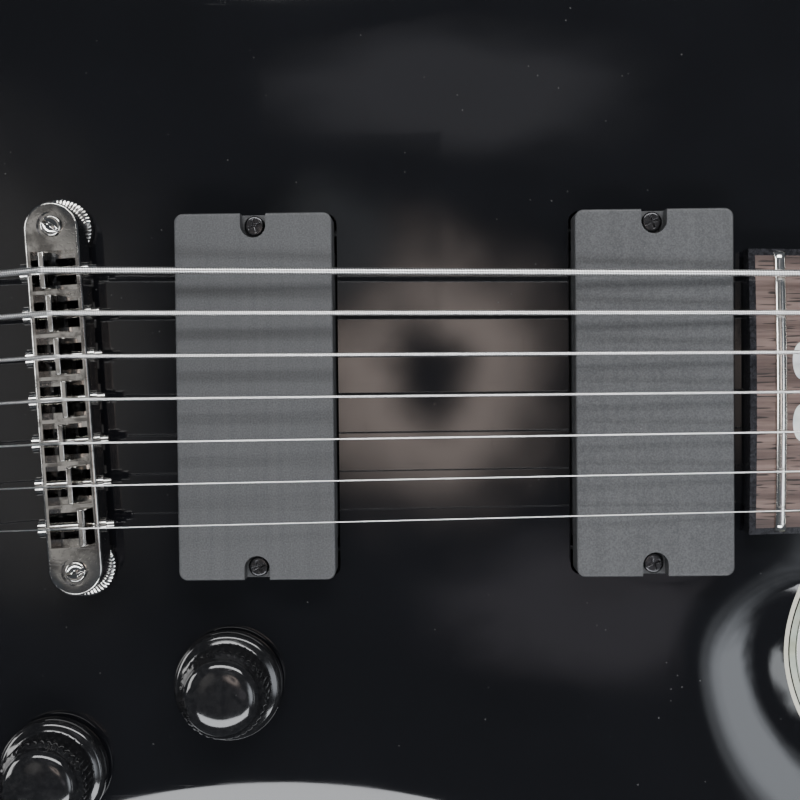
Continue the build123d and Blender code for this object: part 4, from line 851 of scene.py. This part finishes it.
@dataclass
class Body:
    """The carved body and the strip round its top edge."""

    finishes: Finishes
    carve_depth: float = 7.0
    carve_width: float = 32.0
    strip_width: float = 4.0
    strip_depth: float = 6.0
    back_round: float = 3.5
    route_depth: float = 24.0
    neck_flat: float = 43.0

    def __post_init__(self) -> None:
        """Draw the outline that every level follows."""
        self.outline = smooth_loop(BODY_OUTLINE, 20)
        self.ledge = BODY_TOP - self.carve_depth - self.strip_depth

    def top(self, spots: Points) -> np.ndarray:
        """Height of the top at (x, y).

        A parabola falls from the flat middle to the outline over the carve's width. Beside
        the neck the fall fades out, so that the top stays flat round the neck joint.
        """
        share = np.clip(1 - edge_distance(spots, self.outline) / self.carve_width, 0, 1)
        side = np.clip((np.abs(spots[:, 0]) - self.neck_flat) / 28.0, 0, 1)
        low_down = np.clip((-560.0 - spots[:, 1]) / 40.0, 0, 1)
        fade = np.maximum(side * side * (3 - 2 * side), low_down)
        return BODY_TOP - self.carve_depth * (0.12 + 0.88 * fade) * share**2

    def wells(self, shell: Shell) -> tuple[list[Points], list[Points]]:
        """Add the routes and bores, and return their loops in the top and in the back."""
        top_loops, back_loops = [], []
        for y in (BRIDGE_PICKUP_Y, NECK_PICKUP_Y):
            loop = rounded_box(*PICKUP_ROUTE, 0.0, y)
            shell.well([(loop, self.top(loop)), (loop, BODY_TOP - self.route_depth)])
            shell.patch(loop, [], 12.0, lambda spots: np.full(len(spots), BODY_TOP - self.route_depth))
            top_loops.append(loop)
        for side in (-1, 1):
            x, y, _ = moved((side * POST_SPACING / 2, 0, 0), BRIDGE)
            loop = circle(BUSHING_RADIUS, x, y)
            shell.well([(loop, self.top(loop)), (loop, BODY_TOP - BUSHING_DEPTH)])
            shell.fan(np.column_stack([loop, np.full(len(loop), BODY_TOP - BUSHING_DEPTH)]))
            top_loops.append(loop)
        for number in range(STRINGS):
            x, y, _ = ferrule_spot(number)
            wide, bore = circle(FERRULE_RADIUS, x, y, 28), circle(STRING_HOLE_RADIUS, x, y, 28)
            upper, lower = BODY_TOP - FERRULE_DEPTH, BODY_BACK + FERRULE_DEPTH
            shell.well([(wide, self.top(wide)), (wide, upper), (bore, upper),
                        (bore, lower), (wide, lower), (wide, BODY_BACK)])
            top_loops.append(wide)
            back_loops.append(wide)
        bores = [circle(POT_BUSHING_RADIUS, *spot) for spot in KNOBS.values()]
        bores.append(circle(TOGGLE_BUSHING_RADIUS, *TOGGLE))
        for loop in bores:
            shell.well([(loop, self.top(loop)), (loop, CAVITY_TOP)])
        lip, wall = grown_loop(CAVITY_OUTLINE, 11.0), grown_loop(CAVITY_OUTLINE, 6.0)
        shell.well([(lip, BODY_BACK), (lip, BODY_BACK + 2.5), (wall, BODY_BACK + 2.5), (wall, CAVITY_TOP)])
        shell.patch(wall, bores, 12.0, lambda spots: np.full(len(spots), CAVITY_TOP))
        return top_loops + bores, back_loops + [lip]

    def build_wood(self) -> bpy.types.Object:
        """The body: carved top, side, rounded back, with its routes, bores and jack seat."""
        shell = Shell()
        top_loops, back_loops = self.wells(shell)
        inner = inset_loop(self.outline, self.strip_width)
        shell.patch(inner, top_loops, 4.0, self.top)
        angle = np.linspace(0, np.pi / 2, 7)[1:]
        corner = BODY_BACK + self.back_round
        steps = [(inner, self.top(inner)), (inner, self.ledge), (self.outline, self.ledge),
                 (self.outline, corner + 15), (self.outline, corner)]
        for turn in angle:
            inset = self.back_round * (1 - np.cos(turn))
            steps.append((inset_loop(self.outline, inset), BODY_BACK + self.back_round * (1 - np.sin(turn))))
        shell.well(steps)
        shell.patch(steps[-1][0], back_loops, 14.0, lambda spots: np.full(len(spots), BODY_BACK))
        made = shell.object("carved_body", self.finishes.lacquer, 28.0)
        seat = box_shell(40, 26.4, 20.4, shifted(*JACK_SEAT, BODY_BACK + 20))
        carved(made, seat.object("seat", self.finishes.lacquer))
        return made

    def build_strip(self) -> bpy.types.Object:
        """The edge strip: one section, rounded outside, carried round the outline."""
        insets = np.array([self.strip_width, self.strip_width, 3.2, 2.4, 1.6, 0.9, 0.35, 0.08, 0.0, 0.0])
        drops = np.array([0, 0, 0, 0, 0, 0, 0.12, 0.45, 0.95, 0])
        rows = []
        for inset, drop in zip(insets, drops):
            loop = inset_loop(self.outline, inset)
            rows.append(np.column_stack([loop, self.top(loop) - drop]))
        rows[0][:, 2] = rows[-1][:, 2] = self.ledge
        section = np.stack(rows, axis=1)
        shell = Shell()
        length = np.linspace(0, 3.0, len(self.outline) + 1)
        across = np.concatenate([[0.0], 1 - insets[1:] / self.strip_width, [1.0]]) * 0.999
        shell.grid(section, across=True, along=True, u=length, v=across)
        return shell.object("edge_strip", self.finishes.strip, 50.0)

    def build(self) -> None:
        """Build both pieces."""
        mount(self.build_wood(), "root", ["body"])
        mount(self.build_strip(), "root", ["top_binding"])


@dataclass
class Fingerboard:
    """Fretboard, its edge, crowned frets, marks and nut."""

    finishes: Finishes
    fret_width: float = 2.9
    fret_height: float = 1.2

    def frets(self) -> Shell:
        """Half-oval crowns that follow the board's curve, rounded at their ends."""
        shell = Shell()
        turn = np.linspace(0, np.pi, 13)
        section = np.stack([-np.cos(turn), np.sin(turn)], axis=1)
        section = np.vstack([section, (1.0, -0.25), (-1.0, -0.25)])
        share = np.linspace(-1, 1, 25)
        share = np.sign(share) * (1 - (1 - np.abs(share)) ** 1.6)
        for number in range(1, FRETS + 1):
            distance = SCALE * (1 - 2 ** (-number / 12))
            half = (NUT_WIDTH + (BOARD_END_WIDTH - NUT_WIDTH) * distance / BOARD_LENGTH - 1.0) / 2
            x = share * half
            crown = np.sqrt(np.clip(1 - np.clip((np.abs(x) - half + 1.0) / 1.0, 0, 1) ** 2, 0.02, 1))
            high = np.maximum(section[:, 1], 0)[None] * self.fret_height * crown[:, None]
            board = BOARD_THICK - (x**2 / (2 * BOARD_RADIUS))[:, None]
            high = high + np.minimum(section[:, 1], 0)[None] + board
            spots = np.stack([
                np.broadcast_to(x[:, None], high.shape),
                -distance + section[None, :, 0] * self.fret_width / 2 + 0 * high, high], axis=-1)
            spots = moved(spots, NECK)
            shell.grid(spots)
            shell.fan(spots[0])
            shell.fan(spots[-1])
        return shell

    def build(self) -> None:
        """Build the frets and dress the rest."""
        crowns = self.frets().object("fret_crowns", self.finishes.fret_metal, 50.0)
        mount(crowns, "root", ["frets"])
        dress(["fretboard"], self.finishes.rosewood)
        dress(["fretboard_binding"], self.finishes.board_edge)
        dress(["inlays"], self.finishes.pearl)
        dress(["nut"], self.finishes.graphite)


@dataclass
class Pickups:
    """Two moulded covers with their screws and springs."""

    finishes: Finishes

    def build(self) -> None:
        """Dress the covers and round the screw heads."""
        dress(["bridge_pickup_cover", "neck_pickup_cover"], self.finishes.satin)
        dress(["pickup_coils"], self.finishes.coil)
        made = polished_copy("pickup_mounting", "pickup_screws", self.finishes.dark_screw, 0.12)
        mount(made, "root", ["pickup_mounting"])


@dataclass
class Bridge:
    """Frame on two slotted posts with knurled wheels, seven saddles and their screws."""

    finishes: Finishes
    low: float
    height: float = 9.0
    wheel_thick: float = 3.0

    def wheel(self, shell: Shell, x: float) -> None:
        """A thumb wheel: a ring whose rim is cut with fine teeth."""
        base = self.low - self.wheel_thick
        bore = POST_RADIUS + 0.02
        profile = [(bore, base), (6.7, base), (7.2, base + 0.4), (7.2, base + 2.6), (6.7, self.low),
                   (bore, self.low), (bore, base)]

        def teeth(angle: np.ndarray, high: np.ndarray) -> np.ndarray:
            """Teeth round the rim, forty-eight to the turn."""
            rim = (high > base + 0.2) & (high < self.low - 0.2)
            return 0.3 * np.abs(np.sin(24 * angle)) * rim

        shell.turning(profile, BRIDGE @ shifted(x, 0, 0), 300, teeth)

    def post(self, x: float, side: int) -> bpy.types.Object:
        """A height post: stud below, flat and slotted head above."""
        top = self.low + self.height + 0.3
        stud = BODY_TOP - 16.0
        seat = self.low - self.wheel_thick
        profile = [(0, stud), (STUD_RADIUS, stud), (STUD_RADIUS, seat), (POST_RADIUS, seat),
                   (POST_RADIUS, top - 0.3), (2.4, top - 0.12), (2.25, top), (2.1, top + 0.02),
                   (0, top + 0.02)]
        shell = Shell()
        shell.turning(profile, BRIDGE @ shifted(x, 0, 0), 48)
        made = shell.object(f"bridge_post_{'bass' if side < 0 else 'treble'}", self.finishes.nickel, 35.0)
        place = BRIDGE @ shifted(x, 0, top + 0.2) @ turned("Z", 55 if side < 0 else 102)
        carved(made, box_shell(8, 0.95, 2.4, place).object("slot_cutter", self.finishes.nickel))
        return made

    def build(self) -> None:
        """Build the bridge."""
        nickel = self.finishes.nickel
        body = polished_copy("bridge_frame", "bridge_body", nickel, 0.3, segments=3)
        mount(body, "root", ["bridge_frame"])
        wheels = Shell()
        for side in (-1, 1):
            mount(self.post(side * POST_SPACING / 2, side), "root", ["bridge_posts"])
            self.wheel(wheels, side * POST_SPACING / 2)
        mount(wheels.object("thumb_wheels", nickel, 30.0), "root", ["bridge_posts"])
        ferrules = polished_copy("body_ferrules", "string_ferrules", nickel, 0.15)
        mount(ferrules, "root", ["body_ferrules"])
        for number in range(1, STRINGS + 1):
            saddle, screw = f"saddle_{number}", f"saddle_screw_{number}"
            block = polished_copy(saddle, f"saddle_block_{number}", nickel, 0.16)
            mount(block, saddle, [saddle])
            rod = polished_copy(screw, f"saddle_screw_turned_{number}", nickel, 0.14)
            mount(rod, screw, [screw])


def nut_point(number: int) -> Points:
    """Centre of a string on the nut's front edge."""
    x = NUT_SPREAD * (number / (STRINGS - 1) - 0.5)
    high = FRET_TOP + ACTION_NUT + STRING_DIA[number] / 2 - x * x / (2 * BOARD_RADIUS)
    return moved((x, 0, high), NECK)


def saddle_point(number: int) -> Points:
    """Centre of a string over its saddle."""
    across = BRIDGE_SPREAD * (number / (STRINGS - 1) - 0.5)
    x, y, _ = moved((across, SADDLE_OFFSETS[number], 0), BRIDGE)
    height = FRET_TOP + ACTION_BRIDGE + STRING_DIA[number] / 2 - across**2 / (2 * BOARD_RADIUS)
    slope = math.radians(NECK_ANGLE)
    return np.array([x, y, -y * math.tan(slope) + height / math.cos(slope)])


def ferrule_spot(number: int) -> Points:
    """Where a string enters the body."""
    return moved((BRIDGE_SPREAD * (number / (STRINGS - 1) - 0.5), -TAIL_DISTANCE, 0), BRIDGE)


def post_point(number: int) -> Points:
    """Where a string leaves its tuner post, on the inner side."""
    x, y = POSTS[number]
    side = 1 if x < 0 else -1
    return moved((x + side * (TUNER_REACH + STRING_DIA[number] / 2), y, TURNS_HEIGHT), HEAD)


def rounded_path(corners: Sequence[Points], radii: Sequence[float], arc: int = 9) -> Points:
    """A path through corner points, with each inner corner rounded by a circle's arc.

    Args:
        corners: The corner points.
        radii: A radius for each inner corner.
        arc: How many points each arc has.

    Returns:
        The path's points in order.
    """
    corners = np.asarray(corners, float)
    runs = [corners[:1]]
    for before, here, after, radius in zip(corners, corners[1:], corners[2:], radii):
        come, go = here - before, after - here
        come, go = come / np.linalg.norm(come), go / np.linalg.norm(go)
        bend = np.arccos(np.clip(come @ go, -1, 1))
        reach = radius * np.tan(bend / 2)
        inward = go - come
        inward /= np.linalg.norm(inward)
        centre = here + inward * radius / np.cos(bend / 2)
        turn = np.linspace(0, bend, arc)[:, None]
        foot = here - come * reach - centre
        runs.append(centre + foot * np.cos(turn) + come * radius * np.sin(turn))
    runs.append(corners[-1:])
    return np.vstack(runs)


@dataclass
class Strings:
    """Seven strings, each in four pieces: post to saddle, saddle through the body, turns and ball."""

    finishes: Finishes
    bend_length: float = 60.0

    def material(self, number: int) -> bpy.types.Material:
        """The wire's finish: wound for the bass strings."""
        return self.finishes.wound[number] if number < WOUND else self.finishes.plain

    def halves(self, number: int) -> tuple[Points, Points]:
        """The string's line in front of its saddle and behind it."""
        radius = STRING_DIA[number] / 2
        post, nut, saddle = post_point(number), nut_point(number), saddle_point(number)
        spot = ferrule_spot(number)
        mouth = np.array([spot[0], spot[1], BODY_TOP + 0.7 + radius + 0.6])
        ball = np.array([spot[0], spot[1], BODY_BACK + 4.7])
        way = (nut - saddle) / np.linalg.norm(nut - saddle)
        start = saddle + way * self.bend_length
        whole = rounded_path([post, nut, saddle, mouth, ball], [3.0, 3.0, 1.5 + radius])
        crest_height_and_groove_shade = int(np.argmin(np.linalg.norm(whole - saddle, axis=1)))
        before, after = whole[: crest_height_and_groove_shade + 1], whole[crest_height_and_groove_shade:]
        near = np.linalg.norm(before - saddle, axis=1) < 3.0
        steps = np.linspace(0, 1, 14)[:, None]
        filled = start + (before[near][0] - start) * steps[:-1]
        front = np.vstack([before[~near], filled, before[near]])
        straight = np.linalg.norm(np.diff(after, axis=0), axis=1)
        gap = int(np.argmax(straight[:12]))
        filled = after[gap] + (after[gap + 1] - after[gap]) * steps[1:-1]
        tail = np.vstack([after[: gap + 1], filled, after[gap + 1:]])
        return front, tail

    def coil(self, number: int) -> Points:
        """Turns of string round its post: a helix that climbs by the wire's width each turn."""
        x, y = POSTS[number]
        side = 1 if x < 0 else -1
        turns = 2.6
        angle = np.linspace(0, turns * 2 * np.pi, 90)
        reach = TUNER_REACH + STRING_DIA[number] / 2
        high = TURNS_HEIGHT + angle / (2 * np.pi) * STRING_DIA[number] * 1.04
        spots = np.stack([x + side * reach * np.cos(angle), y + reach * np.sin(angle), high], axis=1)
        return moved(spots, HEAD)

    def wire(self, number: int, part: str, path: Points, radius: float) -> bpy.types.Object:
        """One piece of a string: a round wire along a path."""
        shell = Shell()
        shell.tube(path, radius, 14 if number < WOUND else 10)
        return shell.object(f"string_{number + 1}_{part}", self.material(number), 60.0)

    def ball(self, number: int) -> bpy.types.Object:
        """The ball that holds a string's end in the back of the body."""
        x, y, _ = ferrule_spot(number)
        low = BODY_BACK + 1.5
        profile = [(0, low), (1.7, low), (1.9, low + 0.3), (1.9, low + 2.9), (1.7, low + 3.2), (0, low + 3.2)]
        shell = Shell()
        shell.turning(profile, shifted(x, y, 0), 24)
        return shell.object(f"string_{number + 1}_ball", self.finishes.steel, 40.0)

    def build(self) -> None:
        """Build each string: its front, its tail, its turns and its ball."""
        for number in range(STRINGS):
            wound = number < WOUND
            node, slot = ("wound_strings", "string_nickel") if wound else ("plain_strings", "string_steel")
            radius = STRING_DIA[number] / 2
            front, tail = self.halves(number)
            pieces = [
                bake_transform(self.wire(number, "front", front, radius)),
                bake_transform(self.wire(number, "tail", tail, radius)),
                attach(self.wire(number, "turns", self.coil(number), radius * 0.98),
                        f"tuner_post_{number + 1}"),
                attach(self.ball(number), "root"),
            ]
            for piece in pieces:
                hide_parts(node)
            LOG.info("string %d built in %d pieces", number + 1, len(pieces))


@dataclass
class Knob:
    """A tiered knob: smooth skirt, ribbed middle, domed cap, hollow below, on its shaft."""

    node: str
    spot: tuple[float, float]
    finishes: Finishes
    ribs: int = 36

    def build(self) -> None:
        """Build the knob with its shaft."""
        low = BODY_TOP + 0.8
        profile = [
            (0, low + 6.5), (3.2, low + 6.5), (9.0, low + 6.0), (9.0, low), (13.0, low), (13.4, low + 0.4),
            (13.5, low + 1.2), (13.5, low + 3.2), (13.35, low + 4.2), (12.9, low + 4.9), (12.2, low + 5.35),
            (11.2, low + 5.5), (10.75, low + 5.9), (10.7, low + 6.6), (10.65, low + 9.0), (10.55, low + 12.2),
            (10.5, low + 13.2), (10.2, low + 13.9), (9.6, low + 14.5), (9.3, low + 15.2), (8.8, low + 16.0),
            (7.8, low + 16.7), (6.2, low + 17.15), (4.2, low + 17.4), (2.0, low + 17.5), (0, low + 17.5),
        ]

        def ripple(angle: np.ndarray, high: np.ndarray) -> np.ndarray:
            """Rounded ribs between the skirt and the cap, fading at both ends."""
            fade = np.clip((high - low - 6.2) / 0.6, 0, 1) * np.clip((low + 13.8 - high) / 0.7, 0, 1)
            return 0.42 * (np.abs(np.cos(self.ribs / 2 * angle)) - 0.5) * fade

        shell = Shell()
        shell.turning(profile, shifted(*self.spot, 0), 432, ripple)
        shell.turning([(0, CAVITY_TOP - 4), (3.0, CAVITY_TOP - 4), (3.0, low + 6.4), (0, low + 6.4)],
                      shifted(*self.spot, 0), 32)
        mount(shell.object(f"{self.node}_ribbed", self.finishes.black_plastic, 38.0), self.node, [self.node])


@dataclass
class Controls:
    """Knobs, potentiometers, selector, jack, battery and wiring."""

    finishes: Finishes

    def build(self) -> None:
        """Build the knobs and dress the rest."""
        for node, spot in KNOBS.items():
            Knob(node, spot, self.finishes).build()
        dress(["potentiometers", "toggle_switch"], self.finishes.steel)
        lever = polished_copy("toggle_lever", "selector_lever", self.finishes.dark_nickel, 0.2)
        mount(lever, "toggle_lever", ["toggle_lever"])
        jack = polished_copy("output_jack", "jack_and_plate", self.finishes.dark_nickel, 0.3)
        mount(jack, "root", ["output_jack"])
        dress(["battery"], self.finishes.case)
        dress(["wiring"], self.finishes.jacket)


@dataclass
class Headstock:
    """Neck, headstock, tuners and the rod cover."""

    finishes: Finishes

    def build(self) -> None:
        """Dress the wood and round the metal's edges."""
        dress(["neck"], self.finishes.neck_lacquer)
        dress(["truss_rod"], self.finishes.steel)
        cover = polished_copy("truss_rod_cover", "rod_cover", self.finishes.black_plastic, 0.3)
        mount(cover, "root", ["truss_rod_cover"])
        metal = self.finishes.dark_nickel
        boxes = polished_copy("tuner_housings", "tuner_boxes", metal, 0.3)
        mount(boxes, "root", ["tuner_housings"])
        for number in range(1, STRINGS + 1):
            post, button = f"tuner_post_{number}", f"tuner_button_{number}"
            mount(polished_copy(post, f"string_post_{number}", metal, 0.15), post, [post])
            dress([button], metal)


@dataclass
class Fittings:
    """Strap buttons, back cover and screws."""

    finishes: Finishes

    def build(self) -> None:
        """Dress the cover and round the metal's edges."""
        dress(["control_cover"], self.finishes.graphite)
        buttons = polished_copy("strap_buttons", "strap_pegs", self.finishes.dark_nickel, 0.25)
        mount(buttons, "root", ["strap_buttons"])
        screws = polished_copy("body_screws", "wood_screws", self.finishes.steel, 0.12)
        mount(screws, "root", ["body_screws"])


# ---------------------------------------------------------------- studio


@dataclass
class SoftBox:
    """A soft area light that shows only in what it lights."""

    name: str
    place: tuple[float, float, float]
    target: tuple[float, float, float]
    size: tuple[float, float]
    power: float
    colour: tuple[float, float, float] = (1.0, 1.0, 1.0)

    def build(self) -> None:
        """Place the light and turn it to its target."""
        light = bpy.data.lights.new(self.name, "AREA")
        light.shape = "RECTANGLE"
        light.size, light.size_y = self.size
        light.energy = self.power
        light.color = self.colour
        made = bpy.data.objects.new(self.name, light)
        bpy.context.scene.collection.objects.link(made)
        made.location = self.place
        made.rotation_mode = "QUATERNION"
        made.rotation_quaternion = (Vector(self.target) - Vector(self.place)).to_track_quat("-Z", "Y")
        made.visible_camera = False


@dataclass
class Card:
    """A dim glowing card seen only in reflections: its glow is a soft hill, or a ring."""

    name: str
    place: tuple[float, float, float]
    size: tuple[float, float]
    glow: float
    colour: tuple[float, float, float]
    hollow: float = 0.0

    def build(self) -> None:
        """Make the card and its glow."""
        half = np.array(self.size) / 2
        x, y, z = self.place
        spots = [(x - half[0], y, z - half[1]), (x + half[0], y, z - half[1]),
                 (x + half[0], y, z + half[1]), (x - half[0], y, z + half[1])]
        mesh = bpy.data.meshes.new(self.name)
        mesh.from_pydata(spots, [], [(0, 1, 2, 3)])
        mesh.uv_layers.new(name="UVMap").data.foreach_set("uv", [-1, -1, 1, -1, 1, 1, -1, 1])
        material = bpy.data.materials.new(self.name)
        material.use_nodes = True
        recipe = Recipe(material.node_tree)
        place = recipe.node("TexCoord").outputs["UV"]
        reach = recipe.node("VectorMath", {0: place}, operation="LENGTH").outputs["Value"]
        reach = recipe.math("ADD", reach, recipe.math("MULTIPLY", recipe.noise(place, 2.2, 3.0), 0.5))
        share = recipe.span(reach, 0.55, 1.2, 1, 0)
        share = recipe.math("MULTIPLY", share, recipe.span(reach, 0.25, 0.6, 1 - self.hollow, 1))
        glow = recipe.math("MULTIPLY", share, self.glow)
        light = recipe.node("Emission", {"Color": (*self.colour, 1), "Strength": glow})
        clear = recipe.node("BsdfTransparent")
        mixed = recipe.node("MixShader", {0: share, 1: clear.outputs[0], 2: light.outputs[0]})
        recipe.node("OutputMaterial", {"Surface": mixed.outputs[0]})
        mesh.materials.append(material)
        made = bpy.data.objects.new(self.name, mesh)
        bpy.context.scene.collection.objects.link(made)
        made.visible_camera = False
        made.visible_shadow = False
        made.visible_diffuse = False
        made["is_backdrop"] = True


@dataclass
class Studio:
    """Pale floor, pale surroundings, soft lights and the camera.

    The focal length is given for a frame that is frame_width wide.
    """

    camera_place: tuple[float, float, float] = (-0.0072, -0.3381, -0.5912)
    camera_turn: tuple[float, float, float] = (-0.017, 0.010, -0.026)
    focal: float = 1310.0
    frame_width: float = 800.0
    lights: tuple[SoftBox | Card, ...] = ()

    def floor(self) -> None:
        """A pale matt floor under the lowest point."""
        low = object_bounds()[0].z - 0.001
        corners = np.array([(-4, -4, low), (4, -4, low), (4, 4, low), (-4, 4, low)])
        mesh = bpy.data.meshes.new("floor")
        mesh.from_pydata(corners.tolist(), [], [(0, 1, 2, 3)])
        material = bpy.data.materials.new("floor_paint")
        material.use_nodes = True
        surface = material.node_tree.nodes["Principled BSDF"]
        surface.inputs["Base Color"].default_value = (0.82, 0.82, 0.81, 1)
        surface.inputs["Roughness"].default_value = 0.8
        mesh.materials.append(material)
        made = bpy.data.objects.new("floor", mesh)
        bpy.context.scene.collection.objects.link(made)
        made.visible_glossy = False
        made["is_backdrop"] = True

    def surroundings(self) -> None:
        """Surroundings that look pale, and light the guitar more dimly than they look."""
        world = bpy.data.worlds.new("studio")
        bpy.context.scene.world = world
        world.use_nodes = True
        recipe = Recipe(world.node_tree)
        pale = (0.93, 0.93, 0.92, 1)
        mirrored = recipe.node("Background", {"Color": (0.80, 0.88, 1.0, 1), "Strength": 0.10})
        path = recipe.node("LightPath")
        result = mirrored.outputs[0]
        for ray, strength in (("Is Diffuse Ray", 0.5), ("Is Camera Ray", 1.0)):
            shade = recipe.node("Background", {"Color": pale, "Strength": strength})
            mix = recipe.node("MixShader", {0: path.outputs[ray], 1: result, 2: shade.outputs[0]})
            result = mix.outputs[0]
        recipe.node("OutputWorld", {"Surface": result})

    def camera(self) -> None:
        """The camera over the pickups, with the neck to its right."""
        data = bpy.data.cameras.new("camera")
        data.sensor_width = 36.0
        data.lens = self.focal / self.frame_width * data.sensor_width
        data.clip_start = 0.01
        made = bpy.data.objects.new("camera", data)
        bpy.context.scene.collection.objects.link(made)
        turn = Vector(self.camera_turn)
        basis = Matrix(((0, -1, 0), (0, 0, -1), (1, 0, 0)))
        matrix = Matrix.Rotation(turn.length, 3, turn.normalized()) @ basis
        made.matrix_world = Matrix.Translation(self.camera_place) @ matrix.to_4x4()
        bpy.context.scene.camera = made

    def build(self) -> None:
        """Set everything up."""
        self.floor()
        self.surroundings()
        for light in self.lights:
            light.build()
        self.camera()


MIDDLE = (0.0, -0.02, -0.58)
CARDS = (
    Card("warm_ring", (0.0, -1.0, -0.590), (0.44, 0.40), 3.0, (1.0, 0.84, 0.76), 0.92),
    Card("bass_haze", (-0.28, -1.0, -0.56), (0.22, 0.60), 0.5, (0.92, 0.92, 1.0)),
    Card("treble_haze", (0.24, -1.0, -0.42), (0.26, 0.50), 0.5, (0.95, 0.90, 1.0)),
    Card("left_haze", (-0.13, -1.0, -0.68), (0.22, 0.22), 0.4, (0.9, 0.95, 1.0)),
    Card("neck_glow", (0.22, -0.95, 0.10), (1.1, 0.75), 4.0, (0.88, 0.93, 1.0)),
    Card("neck_streak", (0.30, -0.62, 0.32), (0.9, 0.30), 4.0, (0.92, 0.96, 1.0)),
    Card("tail_glow", (0.0, -1.0, -1.00), (0.8, 0.5), 0.5, (1.0, 0.97, 0.93)),
)
LIGHTS = (
    SoftBox("tail_box", (-0.20, -0.50, -1.75), MIDDLE, (0.7, 0.4), 7.0),
    SoftBox("bass_box", (-0.70, -0.85, -0.55), MIDDLE, (0.3, 1.2), 12.0),
    SoftBox("treble_box", (0.72, -0.90, -0.62), MIDDLE, (0.3, 1.2), 10.0, (0.95, 0.97, 1.0)),
    SoftBox("back_box", (0.4, 1.4, -0.2), MIDDLE, (1.2, 1.2), 20.0),
)


def main() -> None:
    """Build the guitar piece by piece, then the studio round it."""
    logging.basicConfig(level=logging.INFO, format="%(message)s")
    finishes = Finishes()
    frame_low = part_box("bridge_frame")[1].y * -1000
    for part in (
        Body(finishes), Fingerboard(finishes), Pickups(finishes), Bridge(finishes, frame_low),
        Strings(finishes), Controls(finishes), Headstock(finishes), Fittings(finishes),
    ):
        LOG.info("building %s", type(part).__name__)
        part.build()
    Studio(lights=LIGHTS + CARDS).build()


if __name__ == "__main__":
    main()
